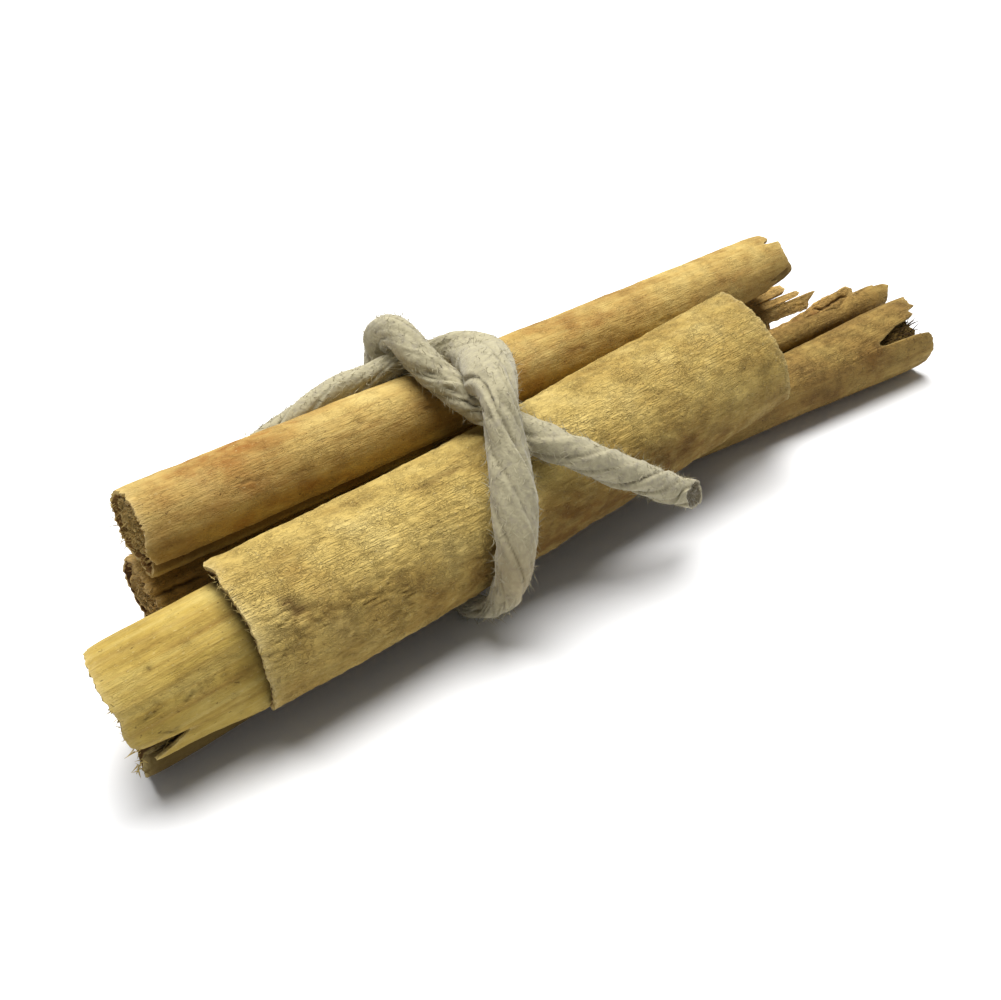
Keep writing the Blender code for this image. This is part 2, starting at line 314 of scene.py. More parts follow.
def cord_height(run, angle):
    """How much further out than a plain round cord the surface lies, in mm, and its shadow."""
    fine_run = np.linspace(0, 200, 801)
    turned = np.cumsum(2 * np.pi / np.interp(fine_run, *np.array(LAY).T)) * 0.25
    wound = angle + np.interp(run, fine_run, turned)
    x, y = np.cos(wound) * 1.3, np.sin(wound) * 1.3
    turn = wound / (2 * np.pi) * len(WRAP_STEPS) + 0.22 * noise(x, y, run / 7)
    share = turn - np.floor(turn)
    deep = np.array(WRAP_STEPS)[np.floor(turn).astype(int) % len(WRAP_STEPS)]
    deep = deep * np.clip(0.75 + 0.7 * noise(run / 8, 3.1, deep * 9), 0.15, 1.3)
    wraps = deep * (np.minimum((1 - share) / 0.82, share / 0.18) - 0.5)
    # The foot of each wrap's step and the pinched pleats are painted darker: painted shade in them.
    foot = np.exp(-(np.minimum(share, 1 - share) / 0.055) ** 2) * np.clip(deep / 0.4, 0, 1)
    fine = groove(wound + 0.3 * noise(x, y, run / 5), 13, 2.0)
    cut = 0.10 * fine * smooth_step(noise(x * 1.5, y * 1.5, run / 5 + 9), -0.1, 0.5)
    for where, reach, depth, count in PINCHES:
        near = np.clip(1 - np.abs(run - where) / reach, 0, 1) ** 0.8
        bent = angle + 0.2 * (run - where) + 0.5 * noise(x + where, y, run / 4)
        uneven = np.clip(0.55 + 0.9 * noise(np.cos(angle) * 2 + where, np.sin(angle) * 2), 0, 1.2)
        cut = cut + groove(bent, count, 1.6) * near * depth * uneven
    felt = 0.05 * layered(x * 2.2, y * 2.2, run / 1.1, 2) + 0.16 * noise(x * 0.7, y * 0.7, run / 5)
    return felt + wraps - cut, np.clip(0.9 * foot + cut / 0.5, 0, 1)


tip = np.clip(cord_run - (cord_length - TIP_BEND[0]), 0, None)
shown_line = cord_line + TIP_UP * (TIP_BEND[1] * tip ** 2)[:, None]
ahead, side, upright = steady_frames(shown_line)
angles = np.linspace(0, 2 * np.pi, CORD_AROUND, endpoint=False)
run_grid, angle_grid = np.meshgrid(cord_run, angles, indexing="ij")
height, cord_painted_shade = cord_height(run_grid, angle_grid)
from_bundle = (shown_line - BUNDLE_MIDDLE) * (0, 1, 1)
from_bundle = unit(from_bundle - ahead * (from_bundle * ahead).sum(axis=1)[:, None])
press = sum(amount * between(cord_run, a, b, 3) for a, b, amount in PRESSED)[:, None]
swollen = 1 + sum(amount * hump(cord_run, where, reach) for where, reach, amount in SWELLS)
direction = (side[:, None] * np.cos(angle_grid)[..., None]
             + upright[:, None] * np.sin(angle_grid)[..., None])
facing = (direction * from_bundle[:, None]).sum(axis=2)
radius = CORD_RADIUS * (cord_fullness * swollen)[:, None] * (1 - press * (facing ** 2 - 0.35))
for a, b, towards, amount in SPREADS:
    spread = between(cord_run, a, b, 3.5)[:, None]
    radius = radius * (1 + amount * spread * np.clip(direction @ towards, 0, 1) ** 1.5)
reach = np.minimum(radius + height, THICKEST)
offset = direction * reach[..., None]
cut_share = smooth_step(cord_run, cord_length - TIP_CUT[0], cord_length)[:, None]
shear = -TIP_CUT[1] * cut_share * (offset @ TIP_UP)
cord_points = shown_line[:, None] + offset + ahead[:, None] * shear[..., None]
print("cord radius in mm:", round(float(reach.min()), 2), "to", round(float(reach.max()), 2))

# %% [markdown]
# ## The tie cord: its cut ends and fuzz
# A cut end is a slightly hollow, rough face of fibre ends, made from rings that close towards the
# middle. The fuzz is thousands of short fibres that lie almost flat and lift at their tips.

# %% Cord mesh
CAP_RINGS = (0.93, 0.86, 0.74, 0.58, 0.40, 0.20)
CUT_FROM = 0.9                     # rings smaller than this share are cut fibre
RUBBED_AT, RUBBED_REACH = 68.5, 4.5    # where the cord has rubbed brown, mm along it


def cut_face(ring, centre, ahead, phase):
    """Rings that close a cut end, and its middle point. ahead points out of the cord."""
    rings = []
    for share in CAP_RINGS:
        at = centre + (ring - centre) * share
        sunk = 0.5 * smooth_step(1 - share, 0.05, 0.3)
        rough = layered(at[:, 0] / 0.5 + phase, at[:, 1] / 0.5, at[:, 2] / 0.5, 2) * 0.35
        rings.append(at + ahead * (rough * min(1, (1 - share) * 5) - sunk)[:, None])
    return rings, centre - ahead * 0.4


first_rings, first_middle = cut_face(cord_points[0], shown_line[0], -ahead[0], 1.0)
last_rings, last_middle = cut_face(cord_points[-1], shown_line[-1], ahead[-1], 5.0)
rings = np.concatenate([first_rings[::-1], cord_points, last_rings])
tube = np.concatenate([rings.reshape(-1, 3), [first_middle, last_middle]])
here = np.arange(CORD_AROUND)
following = np.roll(here, -1)
rows = (np.arange(len(rings) - 1) * CORD_AROUND)[:, None]
tube_quads = np.stack([rows + here, rows + following, rows + CORD_AROUND + following,
                       rows + CORD_AROUND + here], axis=2).reshape(-1, 4)
last_row = rows[-1] + CORD_AROUND
fans = np.concatenate([
    np.stack([following, here, np.full(CORD_AROUND, len(tube) - 2)], axis=1),
    np.stack([last_row + here, last_row + following, np.full(CORD_AROUND, len(tube) - 1)], axis=1)])


def at_points(rings, middles):
    """A value for each ring, given to all its points, and then one for both middle points."""
    return np.append(np.repeat(rings, CORD_AROUND), [middles, middles])


cap = len(CAP_RINGS)
cut_rings = np.array(CAP_RINGS) < CUT_FROM
tube_wear = at_points(np.concatenate([cut_rings[::-1], cord_run * 0, cut_rings]), 1)
tube_painted_shade = np.append(np.pad(cord_painted_shade, ((cap, cap), (0, 0))), [0, 0])
tube_stain = at_points(np.exp(-((np.pad(cord_run, cap) - RUBBED_AT) / RUBBED_REACH) ** 2), 0)
cord_parts = [part(tube, outward(tube, [tube_quads, fans]), np.zeros((len(tube), 3)),
                   tube_wear, tube_painted_shade, tube_stain)]

# %% Cord fuzz
FUZZ, END_FIBRES = 4600, 220
SPREAD_FROM, PRESSED_DOWN = 2.9, 0.4     # where the cord is this thick, its fuzz is shorter
fuzz = np.random.default_rng(21)
ring_pick = fuzz.integers(2, len(cord_line) - 2, FUZZ)
angle_pick = fuzz.integers(0, CORD_AROUND, FUZZ)
roots = cord_points[ring_pick, angle_pick]
out = direction[ring_pick, angle_pick]
along = ahead[ring_pick] * fuzz.choice([-1, 1], FUZZ)[:, None]
across = np.cross(out, along)
heading = along + across * fuzz.normal(0, 0.9, FUZZ)[:, None]
heading = heading + out * fuzz.uniform(0.15, 0.7, FUZZ)[:, None]
curl = out * fuzz.uniform(-0.1, 0.45, FUZZ)[:, None] + across * fuzz.normal(0, 0.35, FUZZ)[:, None]
shorter = np.where(reach[ring_pick, angle_pick] > SPREAD_FROM, PRESSED_DOWN, 1.0)
cord_parts.append(slivers(roots - out * 0.05, heading, fuzz.uniform(0.5, 1.6, FUZZ) * shorter,
                          fuzz.uniform(0.05, 0.09, FUZZ), curl))

for end, way in ((-1, ahead[-1]), (0, -ahead[0])):
    pick = fuzz.integers(0, CORD_AROUND, END_FIBRES)
    share = np.sqrt(fuzz.uniform(0, 0.8, END_FIBRES))[:, None]
    roots = shown_line[end] + (cord_points[end, pick] - shown_line[end]) * share - way * 0.8
    heading = way + fuzz.normal(0, 0.35, (END_FIBRES, 3))
    cord_parts.append(slivers(
        roots, heading, fuzz.uniform(0.3, 0.7, END_FIBRES), fuzz.uniform(0.06, 0.13, END_FIBRES),
        fuzz.normal(0, 0.3, (END_FIBRES, 3)),
        wear=np.repeat(fuzz.uniform(0.0, 1.0, END_FIBRES), SLIVER_POINTS)))
make_piece("tied_linen_cord", cord_parts, sharp=75)

# %% [markdown]
# ## Sticks and sheets
# A quill lies along a line with a slight bow. Its section, seen end on, is a curve that the sheet
# follows from its outer edge inwards. The sheet is that curve drawn out along the stick, with an
# outer face, an inner face and crumbly rims. Each line of it starts and stops where a table says,
# so a tear is a dip in the table, and a split is a dip only one line wide.

# %% Stick
BARK = 0.75      # thickness of a sheet
PITCH = 1.15     # from one turn of a roll to the next


def stick(start, end, radii=(1.0, 1.0), bow=(0, 0, 0)):
    start, end = np.array(start, float), np.array(end, float)
    ahead = unit(end - start)
    across = unit(np.cross((0, 0, 1), ahead))
    return {"start": start, "ahead": ahead, "across": across, "up": np.cross(ahead, across),
            "length": np.linalg.norm(end - start), "radii": radii, "bow": np.array(bow, float)}


def spiral(radius, lip):
    """A roll from its outer edge inwards. Its place in the roll is counted in turns."""
    def section(turns, t):
        angle = np.radians(lip) - 2 * np.pi * turns
        reach = radius - BARK / 2 - PITCH * np.where(turns < 1, turns * np.abs(turns), turns)
        return reach * np.cos(angle), reach * np.sin(angle)
    return section


def table(rows):
    """A function that reads between the rows of a table."""
    places, values = zip(*sorted(rows))
    return lambda u: np.interp(u, places, values)


def teeth(a, size, seed):
    """Small uneven teeth along a torn edge, a being millimetres along it."""
    return size * (noise(a / 1.7, seed) + 0.8 * noise(a / 0.7, seed + 3.3)
                   + 0.5 * noise(a / 0.3, seed + 5.9))


def spaced(*spans):
    """Numbers from span to span, each given as (from, to, how many steps)."""
    return np.unique(np.concatenate([np.linspace(a, b, c + 1) for a, b, c in spans]))


# %% Bark sheet
RIM = 2          # extra lines across the thickness of a torn rim
THIN_REACH = 1.2     # mm from a rim in which the sheet gets thinner


def bark_sheet(stick, section, rows, columns, start, end, finish, thickness=BARK, seed=1.0,
               crumbs=0.16, thin_ends=0.35, lip=0.25, lift=None, inside_wear=0.0):
    """A closed sheet. start and end give the cut for each row of the section in mm along the stick, and
    finish(u, a, l) gives height, dirt with painted shade, and stain of the outer face."""
    n, m = len(rows), len(columns)
    depths = np.linspace(0, 1, RIM + 2)
    inner = depths[1:-1]
    ring_u = np.concatenate([rows, np.full(RIM, rows[-1]), rows[::-1], np.full(RIM, rows[0])])
    ring_d = np.concatenate([np.zeros(n), inner, np.ones(n), inner[::-1]])
    size, caps = len(ring_u), (n - 2) * RIM
    u = np.concatenate([np.repeat(ring_u, m), np.tile(np.repeat(rows[1:-1], RIM), 2)])
    depth = np.concatenate([np.repeat(ring_d, m), np.tile(inner, 2 * (n - 2))])
    share = np.concatenate([np.tile(columns, size), np.zeros(caps), np.ones(caps)])

    fine_u = np.linspace(rows[0], rows[-1], 600)
    x, y = section(fine_u, np.full(600, 0.5))
    fine_a = np.concatenate([[0], np.cumsum(np.hypot(np.diff(x), np.diff(y)))])
    a = np.interp(u, fine_u, fine_a)
    first, last = (cut(u) + teeth(a, crumbs, seed + k) + crumbs * noise(a / 0.5, depth * 3, seed + k + 20)
                   for cut, k in ((start, 0), (end, 40)))
    l = first + share * (last - first)
    t = l / stick["length"]

    # The long edges of the sheet wander too.
    wander = lip * layered(l / 3.0, seed + 80 + depth * 1.5)
    near_lip = np.exp(-a / 0.9) - np.exp(-(fine_a[-1] - a) / 0.9)
    u = u + wander * near_lip * (fine_u[-1] - fine_u[0]) / fine_a[-1]

    x, y = section(u, t)
    x1, y1 = section(u + 1e-4, t)
    x0, y0 = section(u - 1e-4, t)
    step = np.hypot(x1 - x0, y1 - y0)
    out_x, out_y = (y0 - y1) / step, (x1 - x0) / step
    height, dirt_and_shade, stain = finish(u, a, l)
    edge = np.maximum(np.minimum(l - first, last - l), 0)
    thick = thickness * (1 - thin_ends * np.exp(-edge / THIN_REACH))
    offset = thick * (0.5 - depth) + height * (1 - depth)
    offset = offset + 0.04 * noise(a / 1.3, l / 4, seed + 7) * depth
    if lift is not None:
        offset = offset + lift(u, a, l)
    grow = 1 + (stick["radii"][1] / stick["radii"][0] - 1) * t
    grow = grow * (1 + 0.012 * np.sin(2.6 * t * np.pi + 3 * (u - rows[0]) / (rows[-1] - rows[0])))
    points = (stick["start"] + stick["ahead"] * l[:, None]
              + stick["bow"] * (4 * t * (1 - t))[:, None]
              + stick["across"] * (x * grow + out_x * offset)[:, None]
              + stick["up"] * (y * grow + out_y * offset)[:, None])

    grid = np.arange(size * m).reshape(size, m)
    below = np.roll(grid, -1, axis=0)
    quads = [np.stack([grid[:, :-1], below[:, :-1], below[:, 1:], grid[:, 1:]], axis=2)]
    for column, base in ((0, size * m), (m - 1, size * m + caps)):
        face = np.empty((n, RIM + 2), int)
        face[:, 0] = grid[:n, column]
        face[:, -1] = grid[n + RIM:2 * n + RIM, column][::-1]
        face[0, 1:-1] = grid[2 * n + RIM:, column][::-1]
        face[-1, 1:-1] = grid[n:n + RIM, column]
        face[1:-1, 1:-1] = np.arange(base, base + caps).reshape(n - 2, RIM)
        if column:
            face = face[:, ::-1]
        quads.append(np.stack([face[:-1, :-1], face[:-1, 1:], face[1:, 1:], face[1:, :-1]], axis=2))
    quads = np.concatenate([q.reshape(-1, 4) for q in quads])
    wear = np.exp(-edge / 0.5) + np.exp(-a / 0.3) * 0.6 + inside_wear
    return part(points, outward(points, [quads]), np.stack([a, l, depth * thickness], axis=1),
                np.clip(wear, 0, 1), dirt_and_shade * (1 - 0.6 * depth), stain)


# %% [markdown]
# ## Marks on bark
# Stains, scars and cracks sit at certain places on a roll: an angle seen from its left end, with
# 90 at the top and 180 in front, and the millimetres along it.

# %% Spots and cracks
def turn_at(place, lip):
    """Where in a roll an angle lies, in turns from its outer edge. Without a lip the place
    already is in turns."""
    return place if lip is None else (lip - place) / 360


def rim_table(lip, rows):
    """Where each line of a roll starts or stops: (angle, mm). It may go on below 0 degrees."""
    return table([(turn_at(angle, lip), along) for angle, along in rows])


def spots(u, l, roll, marks):
    """Soft round marks: (angle, mm along, reach across, reach along, strength). A roll is its
    lip's angle and its girth in mm."""
    lip, girth = roll
    total = 0.0
    for angle, along, across_reach, along_reach, strength in marks:
        far = ((u - turn_at(angle, lip)) * girth / across_reach) ** 2
        total = total + strength * np.exp(-far - ((l - along) / along_reach) ** 2)
    return total


def cracks(u, l, roll, lines, width=0.22):
    """Wobbly lines: (angle, mm along) at both ends. They are 1 in the middle of the crack."""
    lip, girth = roll
    total = 0.0
    for angle0, along0, angle1, along1 in lines:
        turn0, turn1 = turn_at(angle0, lip), turn_at(angle1, lip)
        share = np.clip((l - along0) / (along1 - along0 + 1e-9), 0, 1)
        line = turn0 + (turn1 - turn0) * share + noise(l / 1.1, along0) * 0.35 / girth
        gap = np.hypot((u - line) * girth / width, (l - np.clip(l, along0, along1)) / 0.4)
        ends = np.clip(4 * share * (1 - share) + 0.35, 0, 1)
        total = np.maximum(total, np.exp(-gap ** 2) * ends)
    return total


# %% [markdown]
# ## Crumpled flakes inside an end
# Scraps of bark are pushed into a quill before it is rolled. At a cut end they show as crumpled
# flakes with dark gaps. They are short wavy spirals with very broken edges.

# %% Flakes
def flakes(stick, at_end, outer, inner, deep, seed, pitch, thickness=0.3, back=0.25,
           centre=(0.0, 0.0), wave=0.16, rough=0.5, shade=0.0):
    """Flakes deep mm long at an end, 0 or 1, that fill it from one radius to another."""
    turns = (outer - inner) / pitch

    def section(u, t):
        angle = 2 * np.pi * u + seed
        x, y = np.cos(angle), np.sin(angle)
        bump = (noise(x * 2.6 + seed, y * 2.6, u * 1.7)
                + 0.6 * noise(x * 6, y * 6 + seed, u * 3.1 + t * stick["length"] / 2))
        reach = outer - pitch * u + wave * bump
        return centre[0] + reach * x, centre[1] + reach * y

    def cut(u):
        angle = 2 * np.pi * u
        far = noise(np.cos(angle) * 3 + seed * 2, np.sin(angle) * 3, u * 2.3)
        return back + rough * np.abs(far) + 0.25 * noise(u * 15, seed)

    limits = (cut, lambda u: cut(u) + deep)
    if at_end:
        limits = (lambda u: stick["length"] - cut(u) - deep, lambda u: stick["length"] - cut(u))
    return bark_sheet(stick, section, np.linspace(0, turns, int(turns * 46)),
                      np.array([0, 0.08, 0.3, 1.0]), *limits,
                      lambda u, a, l: (0.0 * a, shade + 0.0 * a, 0.0 * a), thickness, seed,
                      crumbs=0.3, thin_ends=0.3, lip=0.0, inside_wear=0.5 * (1 - shade))


def end_fibres(stick, places, count, seed, radius, length, spread, dirt_and_shade=0.0, width=(0.06, 0.14)):
    """Loose fibres at an end. places gives angles in degrees and mm along: from, to."""
    draw = np.random.default_rng(seed)
    angle = np.radians(draw.uniform(*places[0], count))
    along = draw.uniform(*places[1], count)
    reach = draw.uniform(*radius, count)
    out = stick["across"] * np.cos(angle)[:, None] + stick["up"] * np.sin(angle)[:, None]
    roots = stick["start"] + stick["ahead"] * along[:, None] + out * reach[:, None]
    way = stick["ahead"] * (1 if along.mean() > stick["length"] / 2 else -1)
    heading = way + draw.normal(0, spread, (count, 3))
    return slivers(roots, heading, draw.uniform(*length, count), draw.uniform(*width, count),
                   draw.normal(0, 0.3, (count, 3)), 0.8 * (1 - dirt_and_shade), dirt_and_shade)


# %% [markdown]
# ## The upper back quill
# This is the tightest roll, almost three turns of smooth golden bark. Its left end is packed with flakes,
# and its right end is torn and notched. Its lower front is stained orange brown, with a painted shadow of
# the cord beside the knot, and below its outer edge the next layer bulges out, painted dark as shade
# under the lip.

# %% Upper back quill
UPPER = stick((-58.8, 8.2, 20.35), (51.6, 9.2, 16.3), (4.95, 4.76))
UPPER_LIP = 213
UPPER_ROLL = (UPPER_LIP, 2 * math.pi * 4.6)


def upper_section(turns, t):
    """A roll whose second layer bulges below the lip of the first."""
    x, y = spiral(4.95, UPPER_LIP)(turns, t)
    l = t * UPPER["length"]
    bulge = 1.7 * (1 - smooth_step(l, 36, 48)) * np.clip(1 - ((turns - 0.94) / 0.06) ** 2, 0, 1)
    torn = 0.25 + 0.75 * smooth_step(l, 103.5, 107.5)
    bulge = bulge + torn * np.clip(1 - ((turns - 1.05) / 0.10) ** 2, 0, 1)
    grow = 1 + bulge / np.hypot(x, y)
    return x * grow, y * grow


def upper_finish(u, a, l):
    split = cracks(u, l, UPPER_ROLL, [
        (158, 17.6, 161, 19.9), (141, 11.2, 149, 14.0), (86, 21.6, 84, 24.0),
        (133, 22.2, 134, 23.2), (149, 36.8, 147, 38.2), (152, 61.0, 157, 65.0),
        (138, 102.0, 141, 104.0), (70, 18.0, 66, 20.0), (168, 79.0, 171, 83.0)], width=0.15)
    pit = spots(u, l, UPPER_ROLL, [(130, 28.3, 0.4, 0.45, 0.9), (97, 96.1, 0.25, 0.3, 0.8),
                                   (149, 37.4, 0.25, 0.5, 0.6)])
    ragged = split * (0.5 + 0.9 * np.abs(noise(a / 0.5, l / 0.6, 12.0)))
    height = (0.10 * noise(a / 3.2, l / 8) + 0.06 * noise(a / 1.1, l / 3, 3.0)
              + 0.04 * layered(a / 0.7, l / 1.2, 8.0) - 0.14 * ragged - 0.18 * pit)
    rusty = spots(u, l, UPPER_ROLL, [
        (205, 26, 3.2, 14, 0.5), (200, 12, 2.2, 10, 0.45), (159, 13.1, 1.6, 4, 0.5),
        (162, 57, 4.0, 12, 0.4), (158, 97, 3.0, 5, 0.5), (68, 15, 2.0, 9, 0.55),
        (120, 70, 2.0, 9, 0.35), (95, 62, 2.0, 8, 0.5), (82, 14, 3.0, 9, 0.6)])
    rusty = rusty * np.clip(0.55 + 0.9 * layered(a / 2.0, l / 3.0, 4.0), 0, 1.5)
    # The spot at 145 degrees and 47 mm is a painted shadow of the cord beside the knot, laid on as stain.
    rusty = rusty + spots(u, l, UPPER_ROLL, [(110, 9, 4.0, 7, 0.55), (145, 47, 5.0, 7, 0.75)])
    # The bulging layer below the lip and the torn layer at the right end are painted dark as painted
    # shade, and cracks and pits are painted dark as shade in them.
    shade_under_lip = 0.3 * smooth_step(u, 0.86, 0.90) + 0.6 * smooth_step(u, 0.960, 0.970)
    torn_end_shade = 0.7 * smooth_step(u, 0.97, 1.0) * smooth_step(l, 100, 104)
    dark = 0.75 * ragged + 0.6 * pit + shade_under_lip * (1 - smooth_step(l, 38, 48)) + torn_end_shade
    return height, np.clip(dark, 0, 1), np.clip(rusty, 0, 1)


upper_cut = rim_table(UPPER_LIP, [
    (222, 0.9), (213, 0.7), (204, 0.3), (190, -0.5), (172, -0.3), (154, -0.1), (132, 0.0),
    (78, 0.1), (-140, 0.2), (-156, 0.7), (-820, 1.0)])
upper_end = rim_table(UPPER_LIP, [
    (222, 104.4), (205, 106.0), (196, 107.0), (188.5, 107.3), (186.5, 105.6), (184, 105.3),
    (178, 107.2), (172, 109.0), (166, 110.2), (142, 109.3), (114, 109.8), (111, 107.0),
    (105, 106.8), (101, 108.6), (60, 109.0), (-131, 108.4), (-148, 106.6), (-158, 107.2),
    (-166, 109.4), (-174, 110.8), (-185, 111.2), (-199, 110.0), (-260, 108.4), (-820, 108.8)])
make_piece("upper_quill_bark", [
    bark_sheet(UPPER, upper_section, spaced((0, 0.62, 84), (0.62, 0.86, 18), (0.86, 1.12, 34),
                                            (1.12, 2.9, 44)),
               spaced((0, 0.03, 14), (0.03, 0.97, 205), (0.97, 1, 16)),
               lambda u: upper_cut(u) + 0.7 * np.abs(noise(u * 55, 3.0)) - 0.2, upper_end,
               upper_finish, lip=0.18),
    flakes(UPPER, 0, 3.75, 0.2, 3.0, 3.0, 0.66, thickness=0.36, wave=0.46, rough=1.2),
    flakes(UPPER, 1, 3.0, 0.3, 2.4, 4.0, 0.6, back=0.9),
    end_fibres(UPPER, ((0, 360), (-0.1, 0.9)), 220, 31, (0.6, 4.8), (0.4, 1.2), 0.6, dirt_and_shade=0.2),
    end_fibres(UPPER, ((60, 200), (107.0, 108.6)), 16, 32, (3.4, 4.4), (0.4, 1.0), 0.35)])

# %% [markdown]
# ## The lower back quill
# A looser, browner roll. Its left end is frayed, and its right end is split along the grain into
# shreds that lie at different heights.

# %% Lower back quill
LOWER = stick((-58.2, 9.95, 9.75), (50.8, 10.75, 5.6), (5.35, 5.35), (0, 0, 0.45))
LOWER_LIP = 160


def brown_finish(roll, lines, stains, phase):
    """Fibrous brown bark: long ridges, fine scales, and the cracks and stains that are listed."""
    def finish(u, a, l):
        split = cracks(u, l, roll, lines)
        height = (0.10 * noise(a / 3.0, l / 11, phase) + 0.06 * noise(a / 0.9, l / 8, phase + 3)
                  + 0.045 * layered(a / 0.6, l / 1.8, phase + 8) - 0.3 * split)
        rusty = spots(u, l, roll, stains) * (0.75 + 0.6 * layered(a / 2, l / 3, phase))
        # The cracks are painted dark as well as sunk: painted shade in them.
        return height, np.clip(split, 0, 1), np.clip(rusty, 0, 1)
    return finish


def shred_lift(u, a, l):
    """The three shreds bend away from each other past the end of the roll."""
    first, second = smooth_step(u, 0.062, 0.070), smooth_step(u, 0.104, 0.112)
    bend = (1 - first) * 1.3 + (first - second) * -0.3 + second * 0.45 * (u < 0.2)
    return smooth_step(l, 104, 120) * bend


lower_start = table([(0.0, -1.2), (0.03, -0.9), (0.055, -1.6), (0.1, -1.2), (0.14, -1.5),
                     (0.3, -0.6), (1.0, 0.0), (1.1, 0.6), (2.0, 0.8)])
lower_end = rim_table(LOWER_LIP, [
    (166, 115.8), (157, 116.4), (150, 117.0), (144, 118.6), (140, 119.3), (138.6, 117.4),
    (137.6, 106.5), (136.0, 106.5), (135.4, 116.4), (131, 117.4), (125, 117.0), (123.4, 115.8),
    (122.8, 105.5), (121.6, 105.5), (121.0, 113.4), (113, 114.4), (104, 113.9), (100, 112.0),
    (95, 109.6), (-20, 109.0), (-195, 109.0), (-212, 113.5), (-222, 115.5), (-238, 113.0),
    (-250, 109.0), (-560, 108.6)])
lower_finish = brown_finish(
    (LOWER_LIP, 2 * math.pi * 5.0),
    [(144, -1.0, 147, 5.0), (120, 2.0, 122, 9.0), (60, 20.0, 64, 34.0), (30, 60.0, 34, 80.0)],
    [(150, 6, 3, 6, 0.4), (30, 40, 5, 20, 0.5)], 20.0)
make_piece("lower_quill_bark", [
    bark_sheet(LOWER, spiral(5.35, LOWER_LIP),
               spaced((0, 0.2, 64), (0.2, 0.6, 34), (0.6, 1.05, 24), (1.05, 2.0, 26)),
               spaced((0, 0.06, 26), (0.06, 0.82, 110), (0.82, 1, 62)),
               lower_start, lower_end, lower_finish, seed=2.0, crumbs=0.34, lift=shred_lift),
    flakes(LOWER, 0, 4.3, 0.6, 3.0, 7.0, 0.8, thickness=0.36, back=-0.6, wave=0.35,
           rough=1.2),
    flakes(LOWER, 1, 4.0, 1.2, 3.0, 8.0, 0.8, back=1.2),
    end_fibres(LOWER, ((80, 230), (-1.4, 0.0)), 150, 33, (3.2, 5.2), (0.4, 1.2), 0.5,
               width=(0.08, 0.2)),
    end_fibres(LOWER, ((100, 165), (110, 115)), 14, 34, (4.6, 5.2), (0.6, 1.6), 0.15)])

# %% [markdown]
# ## The outer sleeve
# One thick, leathery sheet bent into a C, with short creases along the grain, lumps and old
# scars. Its right rim is pale and finely wrinkled, and its left rim is crumbly.

# %% Outer sleeve
SLEEVE = stick((-54.6, -4.55, 11.05), (29.7, -4.8, 14.12), (8.75, 9.22), (0, -0.3, -0.8))
SLEEVE_FRONT, SLEEVE_BACK = 219, (-60, -15)      # the angles of its two long edges
SLEEVE_ROLL = (SLEEVE_FRONT, 2 * math.pi * 8.4)
SLEEVE_ARC = (SLEEVE_FRONT - SLEEVE_BACK[0]) / 360
SLEEVE_DIP = 3.9      # how far the right rim curves in, in mm


def sleeve_section(u, t):
    """u is the angle turned from the front edge over the top, as a share of a full turn."""
    back = SLEEVE_BACK[0] + (SLEEVE_BACK[1] - SLEEVE_BACK[0]) * np.clip(t, 0, 1)
    angle = np.radians(SLEEVE_FRONT - u / SLEEVE_ARC * (SLEEVE_FRONT - back))
    reach = 8.75 - BARK / 2
    return reach * np.cos(angle), reach * np.sin(angle)


def sleeve_finish(u, a, l):
    bend_a = a + 0.5 * noise(a / 3, l / 3, 2.0)
    bend_l = l + 0.9 * noise(a / 3, l / 3, 5.0)
    creases = smooth_step(1 - np.abs(noise(bend_a / 0.75, bend_l / 2.3)) * 2.6, 0.0, 1.0)
    creases = creases * smooth_step(noise(a / 5, l / 6, 9.0), -0.7, 0.5)
    coarse = spots(u, l, SLEEVE_ROLL, [(150, 7.0, 5.0, 7.0, 0.8), (170, 22.0, 3.5, 9.0, 0.5)])
    rim_near = smooth_step(l, 70, 80)
    across = smooth_step(1 - np.abs(noise(bend_a / 2.4, (bend_l + a * 0.4) / 0.8, 4.0)) * 2.6, 0, 1)
    creases = creases * (0.65 + coarse) * (1 - 0.6 * rim_near) + 0.7 * across * rim_near
    scar = spots(u, l, SLEEVE_ROLL, [
        (132, 3.5, 0.9, 0.8, 1.0), (140, 4.2, 0.7, 0.9, 1.0), (93, 28.0, 0.6, 2.6, 0.7),
        (95, 24.5, 0.5, 1.6, 0.6), (93, 10.3, 0.9, 1.2, 0.3)])
    scar = scar * (0.6 + 0.8 * np.abs(noise(a / 0.5, l / 0.5, 1.0)))
    height = (0.16 * noise(a / 4.5, l / 7) + 0.07 * noise(a / 1.6, l / 2.2, 3.0)
              + 0.07 * layered(a / 0.8, l / 1.1, 8.0) - 0.18 * creases - 0.22 * scar)
    rusty = spots(u, l, SLEEVE_ROLL, [
        (162, 17.8, 2.5, 4, 0.35), (183, 19.3, 3, 6, 0.35), (112, 6.0, 2.5, 3, 0.3),
        (172, 10, 3, 4, 0.25), (148, 6.0, 4.0, 5.0, 0.45)])
    # Towards the bottom, and most to the right, the sleeve is painted darker: partly rust and partly
    # painted shade. shadow is a painted shadow along its lower front, and creases and scars are painted
    # darker, partly as shade in them.
    rightward = smooth_step(l, 15, 38) * (1 - 0.6 * smooth_step(l, 58, 72))
    low = 1 - smooth_step(u - 0.10 * rightward, 0.02, 0.16)
    top = smooth_step(u, 0.20, 0.32) * smooth_step(l, 45, 60)
    rusty = rusty + (0.45 + 0.55 * rightward) * low + 0.35 * top
    shadow = 0.45 * rightward * (1 - smooth_step(u, 0.09, 0.23))
    return height, np.clip(0.32 * creases + scar + shadow, 0, 1), np.clip(rusty, 0, 1)


